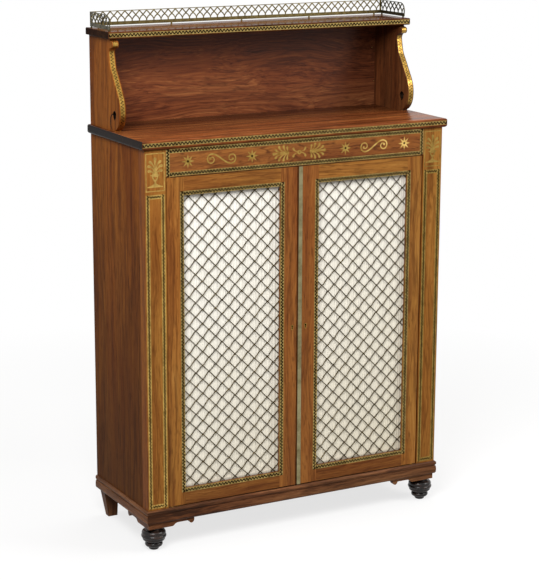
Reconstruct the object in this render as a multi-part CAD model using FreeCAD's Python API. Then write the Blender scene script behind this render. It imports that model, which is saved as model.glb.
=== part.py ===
import FreeCAD, Part
import math
import os

V = FreeCAD.Vector
os.makedirs("parts", exist_ok=True)

# Chiffonier: a low cupboard with two wire-fronted doors and an open shelf above.
# Millimetres. +X is the right-hand side, -Y the front, +Z up. The origin lies on
# the floor, under the middle of the overall box.

# ---- driving dimensions: carcase ----
CARCASE_W = 745.0          # over the two side panels
CARCASE_D = 280.0          # front plane to back plane
FOOT_H = 66.0              # floor to the underside of the carcase
CARCASE_H = 828.0          # underside of the carcase to the underside of the top board
BOTTOM_T = 31.0
SIDE_T = 16.0
BACK_T = 8.0
POST_W = 49.5              # the front corner posts
POST_D = 28.0
FRIEZE_H = 60.0
FRIEZE_D = 30.0
SHELF_T = 16.0
SHELF_Z = 446.0            # underside of the fixed shelf
SHELF_SETBACK = 42.0       # shelf front edge behind the front plane
SHELF_HOUSING = 5.0        # depth that the shelf is housed into each side
SHELF_SHOULDER = 3.0       # step down from the shelf's top to its housed tongue

# ---- top board ----
BOARD_T = 20.0
BOARD_OVERHANG = 8.0
BOARD_TOP_ROUND = 4.0
BOARD_BOTTOM_ROUND = 6.0

# ---- base moulding, brackets, feet, legs ----
PLINTH_PROUD = 4.5
BRACKET_T = 12.0
BRACKET_SETBACK = 1.5
BRACKET_LENGTH = 111.0
BRACKET_DEPTH = 13.0
BRACKET_DEEP_LENGTH = 55.0 # length of the deep part beside the foot
BRACKET_NECK = 6.0
FOOT_INSET = 23.0          # foot's axis from the carcase's front and side faces
FOOT_HEAD_R = 9.0
BUN_R = 28.0
LEG_TOP_W, LEG_TOP_D = 36.0, 24.0
LEG_END_W, LEG_END_D = 22.0, 16.0
LEG_SIDE_INSET = 5.0
LEG_BACK_INSET = 3.0

# ---- doors ----
DOOR_T = 20.0
DOOR_SIDE_GAP = 2.0
DOOR_TOP_GAP = 2.0
DOOR_BOTTOM_GAP = 2.5
MEETING_GAP = 3.5
MEETING_OFFSET = -2.75     # middle of the gap between the doors, from the centre line
HINGE_STILE_W = 39.5
LEFT_MEETING_STILE_W = 41.0
RIGHT_MEETING_STILE_W = 51.0
TOP_RAIL_H = 40.0
BOTTOM_RAIL_H = 37.0
DOOR_LIP_T = 7.0           # wood in front of the wire
REBATE_W = 8.0
TENON_T = 6.0
TENON_LENGTH = 24.0
TENON_SHOULDER = 9.0
HINGE_EDGE_ROUND = 3.0
STOP_LIP_H = 12.0
STOP_CLEARANCE = 0.3
STOP_FROM_PIVOT = 24.0     # end of the stop, clear of the door's turning hinge edge

# ---- wire, silk and beads in the doors ----
WIRE_D = 1.8
WIRE_PITCH_X = 32.1
WIRE_PITCH_Z = 31.5
WIRE_END = 5.5             # each wire runs this far past the opening
WIRE_CLEARANCE = 0.05
LEFT_WIRE_START = (15.2, -4.8)    # first crossing from the opening's top left corner
RIGHT_WIRE_START = (-23.5, 9.7)   # first crossing from the opening's bottom right corner
SILK_T = 1.2
SILK_EDGE = 7.0
BEAD_W = 7.0
BEAD_SETBACK = 1.0

# ---- pivots of the doors ----
PIVOT_FROM_EDGE = 9.0
PIVOT_FROM_FRONT = 7.0
PIN_R = 2.5
PIN_CLEARANCE = 0.08
PIVOT_PLATE_T = 2.0
PIVOT_PLATE_L = 34.0
PIVOT_PLATE_W = 11.0
PIVOT_COLLAR_R = 4.5
PIN_REACH = 7.0
PIN_BORE_EXTRA = 0.6
PIN_BORE_DEPTH = 10.0

# ---- lock, strike, flush bolts, escutcheons, meeting strip ----
LOCK_Z = 470.0
LOCK_CASE_W, LOCK_CASE_T, LOCK_CASE_H = 37.0, 10.0, 50.0
BOLT_L, BOLT_T, BOLT_H = 29.0, 5.0, 16.0
BOLT_THROW = 8.0
BOLT_CLEARANCE = 0.3
STRIKE_T, STRIKE_W, STRIKE_H = 1.5, 10.0, 40.0
MORTISE_CLEARANCE = 0.8
FLUSH_BOLT_X = -25.0
FLUSH_BOLT_R = 3.0
FLUSH_BOLT_L = 62.0
FLUSH_BOLT_FROM_BACK = 5.0
FLUSH_BOLT_THROW = 10.0
FLUSH_CLEARANCE = 0.1
FLUSH_PLATE_W, FLUSH_PLATE_T, FLUSH_PLATE_L = 15.0, 1.5, 70.0
FLUSH_PLATE_INSET = 1.0    # from the door's end
KNOB_R, KNOB_NECK_R, KNOB_T = 4.0, 2.0, 3.5
SOCKET_EXTRA = 0.6
SOCKET_DEPTH = 12.0
KEY_X_LEFT, KEY_X_RIGHT = -15.0, 19.0
KEY_HOLE_R, KEY_SLOT_W, KEY_HOLE_H = 2.2, 2.2, 9.5
KEY_REACH = 3.0            # depth that the keyhole goes into the lock case
ESCUTCHEON_WALL = 1.1
ESCUTCHEON_T = 3.0
BLIND_KEYHOLE_DEPTH = 6.0
STRIP_W = 9.5
STRIP_PROUD = 2.0
STRIP_LET_IN = 1.0

# ---- brass inlay ----
INLAY_T = 1.2
BAND_W = 9.0
POST_INLAY_MARGIN = 2.5
TABLET_TOP_MARGIN = 6.7
TABLET_H = 82.0
TABLET_LINE_W = 2.0
INLAY_GAP = 7.0            # plain wood between the tablet and the panel below it
POST_INLAY_FOOT = 4.0      # plain wood between the base moulding and the inlaid panel
FRIEZE_MARGIN = 1.0
EDGE_BAND_INSET = 1.0      # from each end of a board's front edge
STAR_R, STAR_CORE_R, STAR_EYE_R = 15.5, 6.0, 2.6
STAR_POINTS = 8
STAR_X = 117.0             # the inner star, from the centre line
END_STAR_INSET = 51.5      # the outer star, from the end of the frieze's band
SCROLL_SHARE = 0.48        # the scroll's middle, on the way from the inner to the outer star
SCROLL_W = 3.2
SCROLL_R = 11.5
SCROLL_ARM = 24.0          # each volute's centre from the scroll's middle
SCROLL_TURNS = 1.15
PALMETTE_X = 26.0
PALMETTE_TIPS = ((38.5, 0.0), (33.5, 9.0), (24.5, 14.5), (13.5, 15.5), (4.5, 12.5))
PALMETTE_LEAF_W = 4.8
CENTRE_TIPS = ((15.0, 8.5),)
ROSETTE_R, ROSETTE_EYE_R = 5.0, 1.8
ANTHEMION_Z = 36.0         # collar of the anthemion, above the foot of its tablet
ANTHEMION_TIPS = ((34.0, 0.0), (27.5, 12.0), (18.5, 15.2), (8.5, 14.8))
ANTHEMION_LEAF_W = 5.8

# ---- superstructure ----
UPRIGHT_H = 197.5
UPRIGHT_T = 15.0
UPRIGHT_STRIP_W = 11.0
UPRIGHT_FOOT_D = 132.0     # depth of the upright where it meets the top board
UPRIGHT_QUIRK = 2.5        # height of the small upright step at its foot
UPPER_HOUSING = 3.0        # depth that the uprights and their back are let into the top board
TOP_SHELF_T = 15.5
TOP_SHELF_D = 124.0
TOP_SHELF_ROUND = 2.5
ROLL_R = 7.5
ROLL_FRONT = 124.5
ROLL_DROP = 12.0           # the roll's axis below the shelf
NECK_D = 103.8
BELLY_D = 158.0

# ---- pierced brass gallery ----
GALLERY_T = 1.6
GALLERY_INSET = 7.5
GALLERY_RETURN = 105.0
GALLERY_H = 31.5           # base rail to top rail
GALLERY_LIFT = 3.0
GALLERY_BASE_H = 7.5
GALLERY_TOP_H = 1.6
GALLERY_BAR = 2.3
GALLERY_PITCH = 17.7       # nearest pitch that fills a run with whole cells
GALLERY_STEM_H = 3.5
GALLERY_CROSS_H = 13.0     # height of the crossings above the base rail
GALLERY_BULGE = 0.8        # how far the lower bars bow from a straight line
GALLERY_PIN_R = 2.0
GALLERY_PIN_SET = 7.0      # depth that each pin goes into the shelf
GALLERY_BACK_PINS = 5
GALLERY_END_PIN = 18.0     # last back pins, from the run's ends
GALLERY_SWEEP = 20.0       # length over which the return's top rail comes down

# ---- derived places ----
HALF_W = CARCASE_W / 2
BACK_Y = (CARCASE_D + BOARD_OVERHANG) / 2
FRONT_Y = BACK_Y - CARCASE_D
BASE_Z = FOOT_H
FLOOR_Z = BASE_Z + BOTTOM_T
TOP_Z = BASE_Z + CARCASE_H
BOARD_Z = TOP_Z + BOARD_T
POST_X = HALF_W - POST_W
FRIEZE_Z = TOP_Z - FRIEZE_H
FRIEZE_END_X = POST_X - FRIEZE_MARGIN / 2
DOOR_Z0 = FLOOR_Z + DOOR_BOTTOM_GAP
DOOR_Z1 = FRIEZE_Z - DOOR_TOP_GAP
DOOR_BACK_Y = FRONT_Y + DOOR_T
LEFT_DOOR = (-POST_X + DOOR_SIDE_GAP, MEETING_OFFSET - MEETING_GAP / 2)
RIGHT_DOOR = (MEETING_OFFSET + MEETING_GAP / 2, POST_X - DOOR_SIDE_GAP)
OPEN_Z0 = DOOR_Z0 + BOTTOM_RAIL_H
OPEN_Z1 = DOOR_Z1 - TOP_RAIL_H
PIVOT_Y = FRONT_Y + PIVOT_FROM_FRONT
PIVOT_X = POST_X - DOOR_SIDE_GAP - PIVOT_FROM_EDGE
WIRE_FRONT_Y = FRONT_Y + DOOR_LIP_T + WIRE_CLEARANCE
SILK_Y = WIRE_FRONT_Y + 2 * WIRE_D + 2 * WIRE_CLEARANCE
SHELF_FRONT_Y = FRONT_Y + SHELF_SETBACK
UPPER_Z = BOARD_Z + UPRIGHT_H
TOP_SHELF_Z = UPPER_Z + TOP_SHELF_T
TOP_SHELF_X = HALF_W + BOARD_OVERHANG
TOP_SHELF_Y = BACK_Y - TOP_SHELF_D
FOOT_X = HALF_W - FOOT_INSET
FOOT_Y = FRONT_Y + FOOT_INSET
FLUSH_BOLT_Y = DOOR_BACK_Y - FLUSH_BOLT_FROM_BACK
EXTRA = 1.0                # how far a cutting tool runs past the face it cuts


# ---- helpers ----
def box(x0, x1, y0, y1, z0, z1):
    return Part.makeBox(x1 - x0, y1 - y0, z1 - z0, V(x0, y0, z0))


def rod(x, y, z, radius, length, axis=V(0, 0, 1)):
    return Part.makeCylinder(radius, length, V(x, y, z), axis)


def mirrored(shape):
    return shape.mirror(V(0, 0, 0), V(1, 0, 0))


def joined(shapes):
    return shapes[0].multiFuse(shapes[1:]).removeSplitter()


def on_front(y):
    """Places a flat point (x, z) in the upright plane at depth y."""
    return lambda p: V(p[0], y, p[1])


def on_side(x):
    """Places a flat point (d, z), d being the distance forward of the back, at x."""
    return lambda p: V(x, BACK_Y - p[0], p[1])


def outline(place, start, *moves):
    """A closed face. A move is a point, or (middle, end) for an arc, or a list for a spline."""
    edges = []
    here = start
    for move in moves:
        if isinstance(move, list):
            curve = Part.BSplineCurve()
            curve.interpolate([place(p) for p in [here] + move])
            edges.append(curve.toShape())
            here = move[-1]
        elif isinstance(move[0], tuple):
            edges.append(Part.Arc(place(here), place(move[0]), place(move[1])).toShape())
            here = move[1]
        else:
            edges.append(Part.makeLine(place(here), place(move)))
            here = move
    if here != start:
        edges.append(Part.makeLine(place(here), place(start)))
    return Part.Face(Part.Wire(edges))


def polygon(place, points):
    return Part.makePolygon([place(p) for p in points] + [place(points[0])])


def frame_ring(x0, x1, z0, z1, width, y, thickness):
    """A flat rectangular frame of one width, as a let-in band."""
    outer = box(x0, x1, y, y + thickness, z0, z1)
    return outer.cut(box(x0 + width, x1 - width, y - EXTRA, y + thickness + EXTRA,
                         z0 + width, z1 - width))


def save(name, shape):
    shape.exportStep("parts/" + name + ".step")


def save_pair(name, left_shape):
    save(name + "_left", left_shape)
    save(name + "_right", mirrored(left_shape))


# ---- brass inlay motifs, drawn in the front plane ----
def merged(shapes):
    """Flat shapes in the front plane, turned to face forward and merged into one face."""
    faces = [face for shape in shapes for face in shape.Faces]
    return joined([f.reversed() if f.normalAt(0, 0).y > 0 else f for f in faces]).Faces[0]


def let_in(shapes):
    """Flat shapes merged and given the inlay's thickness."""
    return merged(shapes).extrude(V(0, INLAY_T, 0))


def disc(x, z, radius):
    return Part.Face(Part.Wire(Part.makeCircle(radius, V(x, FRONT_Y, z), V(0, -1, 0))))


def leaf(place, tip, width):
    """One leaf of a fan: slim at its root, curled outward to a round tip. Points are (out, aside)."""
    control = (0.95 * tip[0], 0.28 * tip[1]) if tip[1] else (0.5 * tip[0], 0.0)
    left, right = [], []
    for share, half in ((0.0, 0.36), (0.3, 0.36), (0.65, 0.6), (0.92, 1.0)):
        rest = 1 - share
        u = 2 * rest * share * control[0] + share ** 2 * tip[0]
        v = 2 * rest * share * control[1] + share ** 2 * tip[1]
        du = rest * control[0] + share * (tip[0] - control[0])
        dv = rest * control[1] + share * (tip[1] - control[1])
        off = half * width / 2 / math.hypot(du, dv)
        left.append((u - dv * off, v + du * off))
        right.append((u + dv * off, v - du * off))
    du, dv = tip[0] - control[0], tip[1] - control[1]
    reach = width / 2 / math.hypot(du, dv)
    end = (tip[0] + du * reach, tip[1] + dv * reach)
    return outline(lambda p: on_front(FRONT_Y)(place(p)), left[0], left[1:], (end, right[-1]),
                   right[-2::-1])


def fan(place, tips, width):
    """A fan of leaves that springs from one point, the same on both sides of its axis."""
    ends = [(u, side * v) for u, v in tips for side in ((1, -1) if v else (1,))]
    return [leaf(place, end, width) for end in ends]


def star(x, z):
    points = []
    for i in range(2 * STAR_POINTS):
        radius = STAR_R if i % 2 == 0 else STAR_CORE_R
        turn = math.pi * i / STAR_POINTS
        points.append((x + radius * math.sin(turn), z + radius * math.cos(turn)))
    rays = Part.Face(polygon(on_front(FRONT_Y), points)).cut(disc(x, z, STAR_EYE_R))
    return rays.Faces[0].extrude(V(0, INLAY_T, 0))


def scroll_line():
    """Middle line of an S-scroll, from one volute's eye to the other's, about its own middle."""
    steps = 12
    first = []
    for i in range(steps + 1):
        share = i / steps
        radius = SCROLL_R * (0.3 + 0.7 * share)
        turn = 2 * math.pi * SCROLL_TURNS * (share - 1)
        first.append((radius * math.sin(turn) - SCROLL_ARM, radius * math.cos(turn)))
    bridge = [(share * SCROLL_ARM, -SCROLL_R * math.sin(math.pi / 2 * share))
              for share in (-0.6, -0.2, 0.2, 0.6)]
    return first + bridge + [(-u, -v) for u, v in reversed(first)]


def scroll(x, z):
    """An S-scroll, broad in the middle, with a round eye at each end."""
    line = scroll_line()
    left, right = [], []
    for i, (u, v) in enumerate(line):
        before, after = line[max(i - 1, 0)], line[min(i + 1, len(line) - 1)]
        du, dv = after[0] - before[0], after[1] - before[1]
        half = SCROLL_W * (0.5 + 0.5 * math.sin(math.pi * i / (len(line) - 1))) / 2
        off = half / math.hypot(du, dv)
        left.append((x + u - dv * off, z + v + du * off))
        right.append((x + u + dv * off, z + v - du * off))
    band = outline(on_front(FRONT_Y), left[0], left[1:], right[-1], right[-2::-1])
    return let_in([band] + [disc(x + u, z + v, 0.8 * SCROLL_W) for u, v in (line[0], line[-1])])


def rosette(x, z):
    """The frieze's centre: a pierced boss with four curled leaves."""
    leaves = [fan(lambda p, way=way: (x + way * p[0], z + p[1]), CENTRE_TIPS, PALMETTE_LEAF_W)
              for way in (-1, 1)]
    boss = merged(leaves[0] + leaves[1] + [disc(x, z, ROSETTE_R)]).cut(disc(x, z, ROSETTE_EYE_R))
    return boss.Faces[0].extrude(V(0, INLAY_T, 0))


def frieze_motifs():
    """Stars, scrolls and palmettes, the same on both sides of a central rosette."""
    z = FRIEZE_Z + FRIEZE_H / 2
    end_star_x = FRIEZE_END_X - END_STAR_INSET
    scroll_x = STAR_X + SCROLL_SHARE * (end_star_x - STAR_X)
    half = [star(STAR_X, z), star(end_star_x, z)]
    half.append(mirrored(scroll(-scroll_x, z)))
    half.append(let_in(fan(lambda p: (PALMETTE_X + p[0], z + p[1]), PALMETTE_TIPS,
                           PALMETTE_LEAF_W)))
    return Part.makeCompound(half + [mirrored(motif) for motif in half] + [rosette(0, z)])


def anthemion(x, z):
    """Leaves over a collar, a pierced heart and a spreading foot, on the post's tablet."""
    leaves = fan(lambda p: (x + p[1], z + p[0]), ANTHEMION_TIPS, ANTHEMION_LEAF_W)
    place = on_front(FRONT_Y)
    collar = outline(place, (x - 11, z - 2), (x + 11, z - 2), (x + 11, z), (x + 7, z),
                     ((x + 4.5, z + 5), (x, z + 7.5)), ((x - 4.5, z + 5), (x - 7, z)), (x - 11, z))
    heart = outline(place, (x - 8, z - 2), (x + 8, z - 2), ((x + 5.4, z - 9.5), (x + 1, z - 16)),
                    (x - 1, z - 16), ((x - 5.4, z - 9.5), (x - 8, z - 2)))
    eye = outline(place, (x, z - 10.5), ((x - 3, z - 8), (x - 4.2, z - 5)), (x + 4.2, z - 5),
                  ((x + 3, z - 8), (x, z - 10.5)))
    foot = outline(place, (x - 18, z - 27), (x + 18, z - 27), (x + 18, z - 25),
                   ((x + 9, z - 22.5), (x + 2.4, z - 19)), ((x, z - 15.5), (x - 2.4, z - 19)),
                   ((x - 9, z - 22.5), (x - 18, z - 25)))
    return let_in(leaves + [collar, heart.cut(eye), foot])


# ---- carcase ----
def post_inlay():
    """Left post: a banded panel below a line-edged tablet with its anthemion."""
    x0, x1 = -HALF_W + POST_INLAY_MARGIN, -POST_X - POST_INLAY_MARGIN
    tablet_z1 = TOP_Z - TABLET_TOP_MARGIN
    tablet_z0 = tablet_z1 - TABLET_H
    panel_z0 = FLOOR_Z + POST_INLAY_FOOT
    panel = frame_ring(x0, x1, panel_z0, tablet_z0 - INLAY_GAP, BAND_W, FRONT_Y, INLAY_T)
    tablet = frame_ring(x0, x1, tablet_z0, tablet_z1, TABLET_LINE_W, FRONT_Y, INLAY_T)
    return Part.makeCompound([panel, tablet, anthemion((x0 + x1) / 2, tablet_z0 + ANTHEMION_Z)])


def corner_post(brass):
    post = box(-HALF_W, -POST_X, FRONT_Y, FRONT_Y + POST_D, BASE_Z, TOP_Z)
    return post.cut(brass)


def side_panel():
    panel = box(-HALF_W, -HALF_W + SIDE_T, FRONT_Y + POST_D, BACK_Y, BASE_Z, TOP_Z)
    return panel.cut(shelf_tongues())


def shelf_tongues():
    """The shelf's lower part, which runs on into a housing in each side."""
    x = HALF_W - SIDE_T + SHELF_HOUSING
    return box(-x, x, SHELF_FRONT_Y, BACK_Y - BACK_T, SHELF_Z, SHELF_Z + SHELF_T - SHELF_SHOULDER)


def inner_shelf():
    x = HALF_W - SIDE_T
    top = box(-x, x, SHELF_FRONT_Y, BACK_Y - BACK_T, SHELF_Z, SHELF_Z + SHELF_T)
    return joined([top, shelf_tongues()])


def back_panel():
    """Back, fitted between the sides and over the bottom board's back edge."""
    x = HALF_W - SIDE_T
    return box(-x, x, BACK_Y - BACK_T, BACK_Y, BASE_Z, TOP_Z)


def flush_socket(z, direction):
    """Hole that a flush bolt shoots into, in the frieze rail or the carcase bottom."""
    reach = SOCKET_DEPTH + EXTRA
    start = z - direction * EXTRA
    return rod(FLUSH_BOLT_X, FLUSH_BOLT_Y, start, FLUSH_BOLT_R + SOCKET_EXTRA, reach,
               V(0, 0, direction))


def pivot_plate(z0):
    """Small brass plate of the right-hand pivots, let in flush, with its lower face at z0."""
    return box(PIVOT_X + PIVOT_FROM_EDGE - DOOR_SIDE_GAP / 2 - PIVOT_PLATE_L,
               PIVOT_X + PIVOT_FROM_EDGE - DOOR_SIDE_GAP / 2,
               PIVOT_Y - PIVOT_PLATE_W / 2, PIVOT_Y + PIVOT_PLATE_W / 2,
               z0, z0 + PIVOT_PLATE_T)


def pivot_bore(z, length):
    return rod(PIVOT_X, PIVOT_Y, z, PIN_R + PIN_BORE_EXTRA, length)


def pivot_hole(z):
    """Running hole for the pin through a plate whose lower face is at z."""
    return rod(PIVOT_X, PIVOT_Y, z - EXTRA, PIN_R + PIN_CLEARANCE, PIVOT_PLATE_T + 2 * EXTRA)


def carcase_bottom():
    x_back, x_front = HALF_W - SIDE_T, POST_X
    y_post = FRONT_Y + POST_D
    board = joined([box(-x_back, x_back, y_post, BACK_Y - BACK_T, BASE_Z, FLOOR_Z),
                    box(-x_front, x_front, FRONT_Y, y_post, BASE_Z, FLOOR_Z)])
    seat = pivot_plate(FLOOR_Z - PIVOT_PLATE_T)
    return board.cut([seat, mirrored(seat), flush_socket(FLOOR_Z, -1)])


def frieze_rail(brass):
    """Front rail under the top board; its back lip is the stop that the doors close on."""
    rail = box(-POST_X, POST_X, FRONT_Y, FRONT_Y + FRIEZE_D, FRIEZE_Z - STOP_LIP_H, TOP_Z)
    rebate = box(-POST_X - EXTRA, POST_X + EXTRA, FRONT_Y - EXTRA, DOOR_BACK_Y + STOP_CLEARANCE,
                 FRIEZE_Z - STOP_LIP_H - EXTRA, FRIEZE_Z)
    stop_end = box(PIVOT_X - STOP_FROM_PIVOT, POST_X + EXTRA, FRONT_Y, FRONT_Y + FRIEZE_D + EXTRA,
                   FRIEZE_Z - STOP_LIP_H - EXTRA, FRIEZE_Z)
    seat = pivot_plate(FRIEZE_Z)
    bore = pivot_bore(FRIEZE_Z, PIN_BORE_DEPTH)
    return rail.cut([rebate, stop_end, mirrored(stop_end), seat, bore, mirrored(seat),
                     mirrored(bore), flush_socket(FRIEZE_Z, 1)] + brass)


def nosed_board(x, y0, y1, z0, z1, top_round, bottom_round):
    """A board with a rounded front and ends; the back stays square."""
    board = box(-x, x, y0, y1, z0, z1)
    for z, radius in ((z1, top_round), (z0, bottom_round)):
        edges = [e for e in board.Edges
                 if abs(e.CenterOfMass.z - z) < 0.01 and abs(e.CenterOfMass.y - y1) > 0.01]
        board = board.makeFillet(radius, edges)
    return board


def edge_band(x, y, z0, z1):
    """Brass band along the front edge of a board."""
    middle = (z0 + z1) / 2
    return box(-x, x, y, y + INLAY_T, middle - BAND_W / 2, middle + BAND_W / 2)


# ---- base ----
def plinth_profile():
    """Base moulding, as (distance proud of the carcase, height): cove, torus, fillet, reed."""
    z = BASE_Z
    return ((0.0, z), (0.8, z), ((3.4, z + 2.4), (4.3, z + 6.5)),
            ((PLINTH_PROUD, z + 12.0), (3.6, z + 19.0)), (2.2, z + 19.0), (2.2, z + 20.6),
            ((PLINTH_PROUD, z + 25.8), (1.6, z + BOTTOM_T)), (0.0, z + BOTTOM_T))


def plinth_front():
    profile = plinth_profile()
    x = HALF_W + PLINTH_PROUD
    face = outline(lambda p: V(-x, FRONT_Y - p[0], p[1]), *profile)
    mitred = Part.Face(Part.makePolygon([
        V(-HALF_W, FRONT_Y, BASE_Z - EXTRA), V(HALF_W, FRONT_Y, BASE_Z - EXTRA),
        V(HALF_W + PLINTH_PROUD, FRONT_Y - PLINTH_PROUD, BASE_Z - EXTRA),
        V(-HALF_W - PLINTH_PROUD, FRONT_Y - PLINTH_PROUD, BASE_Z - EXTRA),
        V(-HALF_W, FRONT_Y, BASE_Z - EXTRA)])).extrude(V(0, 0, BOTTOM_T + 2 * EXTRA))
    return face.extrude(V(2 * x, 0, 0)).common(mitred)


def plinth_side():
    profile = plinth_profile()
    y = FRONT_Y - PLINTH_PROUD
    face = outline(lambda p: V(-HALF_W - p[0], y, p[1]), *profile)
    mitred = Part.Face(Part.makePolygon([
        V(-HALF_W, FRONT_Y, BASE_Z - EXTRA), V(-HALF_W, BACK_Y, BASE_Z - EXTRA),
        V(-HALF_W - PLINTH_PROUD, BACK_Y, BASE_Z - EXTRA),
        V(-HALF_W - PLINTH_PROUD, FRONT_Y - PLINTH_PROUD, BASE_Z - EXTRA),
        V(-HALF_W, FRONT_Y, BASE_Z - EXTRA)])).extrude(V(0, 0, BOTTOM_T + 2 * EXTRA))
    return face.extrude(V(0, BACK_Y - y, 0)).common(mitred)


def bracket_face(place):
    """Shaped bracket: deep at the foot, a thin neck, and a drop at its far end."""
    low, neck = BASE_Z - BRACKET_DEPTH, BASE_Z - BRACKET_NECK
    turn, end = BRACKET_DEEP_LENGTH, BRACKET_LENGTH
    return outline(place, (0.0, BASE_Z), (0.0, low), (turn, low),
                   ((turn + 5.0, low + 1.0), (turn + 8.5, low + 4.5)),
                   ((turn + 12.0, neck - 1.0), (turn + 17.0, neck)), (end - 13.0, neck),
                   ((end - 11.5, neck - 4.0), (end - 7.0, low)),
                   ((end - 2.5, low + 2.0), (end, neck + 1.0)), (end, BASE_Z))


def corner_bracket():
    """Left corner: the front and side brackets, mitred together round the foot's block."""
    x0, y0 = -HALF_W + BRACKET_SETBACK, FRONT_Y + BRACKET_SETBACK
    front = bracket_face(lambda p: V(x0 + p[0], y0, p[1])).extrude(V(0, BRACKET_T, 0))
    side = bracket_face(lambda p: V(x0, y0 + p[0], p[1])).extrude(V(BRACKET_T, 0, 0))
    return joined([front, side])


def turned_foot():
    """Left front foot: a reeded bun, a smaller ring and a plain toe, with a round head above."""
    shoulder = BASE_Z - BRACKET_DEPTH
    r = BUN_R
    profile = outline(lambda p: V(-FOOT_X + p[0], FOOT_Y, p[1]), (0.0, 0.0), (r - 19.5, 0.0),
                      ((r - 17.2, 1.6), (r - 16.6, 5.5)), (r - 15.2, 7.5),
                      ((r - 8.2, 12.4), (r - 11.6, 18.0)), (r - 11.6, 19.6), (r - 9.2, 20.6),
                      ((r - 3.4, 23.6), (r - 3.0, 27.8)), ((r, 31.8), (r - 1.8, 36.0)),
                      ((r - 1.6, 41.6), (r - 7.0, 46.2)), ((r - 9.8, 48.4), (r - 11.0, 50.0)),
                      (r - 11.0, shoulder), (FOOT_HEAD_R, shoulder), (FOOT_HEAD_R, BASE_Z),
                      (0.0, BASE_Z))
    return profile.revolve(V(-FOOT_X, FOOT_Y, 0), V(0, 0, 1), 360)


def rear_leg():
    """Left rear leg: a plain tapered post, its inner faces nearly upright."""
    x0, y1 = -HALF_W + LEG_SIDE_INSET, BACK_Y - LEG_BACK_INSET
    taper_x, taper_y = LEG_TOP_W - LEG_END_W, LEG_TOP_D - LEG_END_D

    def section(x, y, width, depth, z):
        return Part.makePolygon([V(x, y, z), V(x + width, y, z), V(x + width, y - depth, z),
                                 V(x, y - depth, z), V(x, y, z)])
    foot = section(x0 + 0.8 * taper_x, y1 - 0.8 * taper_y, LEG_END_W, LEG_END_D, 0.0)
    head = section(x0, y1, LEG_TOP_W, LEG_TOP_D, BASE_Z)
    return Part.makeLoft([foot, head], True, True)


# ---- doors ----
def door_members(door, hinge_w, meeting_w, hinge_on_left):
    """Stiles and tenoned rails of one door, rebated at the back, before their cut-outs."""
    x0, x1 = door
    left_w, right_w = (hinge_w, meeting_w) if hinge_on_left else (meeting_w, hinge_w)
    o0, o1 = x0 + left_w, x1 - right_w
    y0, y1 = FRONT_Y, DOOR_BACK_Y
    rebate = box(o0 - REBATE_W, o1 + REBATE_W, y0 + DOOR_LIP_T, y1 + EXTRA,
                 OPEN_Z0 - REBATE_W, OPEN_Z1 + REBATE_W)
    tenon_y0 = y0 + DOOR_LIP_T - TENON_T / 2
    tenons = []
    for z0, z1 in ((DOOR_Z0, OPEN_Z0), (OPEN_Z1, DOOR_Z1)):
        tenons.append(box(o0 - TENON_LENGTH, o1 + TENON_LENGTH, tenon_y0, tenon_y0 + TENON_T,
                          z0 + TENON_SHOULDER, z1 - TENON_SHOULDER))
    left = box(x0, o0, y0, y1, DOOR_Z0, DOOR_Z1).cut([rebate] + tenons)
    right = box(o1, x1, y0, y1, DOOR_Z0, DOOR_Z1).cut([rebate] + tenons)
    bottom = joined([box(o0, o1, y0, y1, DOOR_Z0, OPEN_Z0).cut(rebate), tenons[0]])
    top = joined([box(o0, o1, y0, y1, OPEN_Z1, DOOR_Z1).cut(rebate), tenons[1]])
    return left, right, bottom, top, (o0, o1)


def rounded_hinge_edge(stile, x):
    """The front arris beside the post is rounded, so that the door clears it as it turns."""
    edges = [e for e in stile.Edges
             if abs(e.CenterOfMass.x - x) < 0.01 and abs(e.CenterOfMass.y - FRONT_Y) < 0.01
             and e.Length > OPEN_Z1 - OPEN_Z0]
    return stile.makeFillet(HINGE_EDGE_ROUND, edges)


def clipped(x, z, slope, x0, x1, z0, z1):
    """Ends of the line through (x, z) inside a rectangle, or None where it misses."""
    xs = sorted((x + (z0 - z) / slope, x + (z1 - z) / slope))
    a, b = max(xs[0], x0), min(xs[1], x1)
    if b - a < WIRE_D * 2:
        return None
    return (a, z + (a - x) * slope), (b, z + (b - x) * slope)


def wire_grille(opening, start):
    """Two layers of crossing wires, each wire a straight rod."""
    x0, x1 = opening[0] - WIRE_END, opening[1] + WIRE_END
    z0, z1 = OPEN_Z0 - WIRE_END, OPEN_Z1 + WIRE_END
    span = int((x1 - x0) / WIRE_PITCH_X + (z1 - z0) / WIRE_PITCH_Z) + 3
    wires = []
    for layer, direction in enumerate((1, -1)):
        y = WIRE_FRONT_Y + WIRE_D / 2 + layer * (WIRE_D + WIRE_CLEARANCE)
        slope = direction * WIRE_PITCH_Z / WIRE_PITCH_X
        for i in range(-span, span):
            ends = clipped(start[0] + i * WIRE_PITCH_X, start[1], slope, x0, x1, z0, z1)
            if ends:
                a, b = (on_front(y)(p) for p in ends)
                wires.append(Part.makeCylinder(WIRE_D / 2, (b - a).Length, a, b - a))
    return Part.makeCompound(wires)


def silk_panel(opening):
    return box(opening[0] - SILK_EDGE, opening[1] + SILK_EDGE, SILK_Y, SILK_Y + SILK_T,
               OPEN_Z0 - SILK_EDGE, OPEN_Z1 + SILK_EDGE)


def glazing_beads(opening):
    """Four wooden beads that hold the silk and the wire in the rebate."""
    x0, x1 = opening[0] - REBATE_W, opening[1] + REBATE_W
    z0, z1 = OPEN_Z0 - REBATE_W, OPEN_Z1 + REBATE_W
    y0, y1 = SILK_Y + SILK_T, DOOR_BACK_Y - BEAD_SETBACK
    return Part.makeCompound([
        box(x0, x0 + BEAD_W, y0, y1, z0, z1), box(x1 - BEAD_W, x1, y0, y1, z0, z1),
        box(x0 + BEAD_W, x1 - BEAD_W, y0, y1, z0, z0 + BEAD_W),
        box(x0 + BEAD_W, x1 - BEAD_W, y0, y1, z1 - BEAD_W, z1)])


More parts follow.
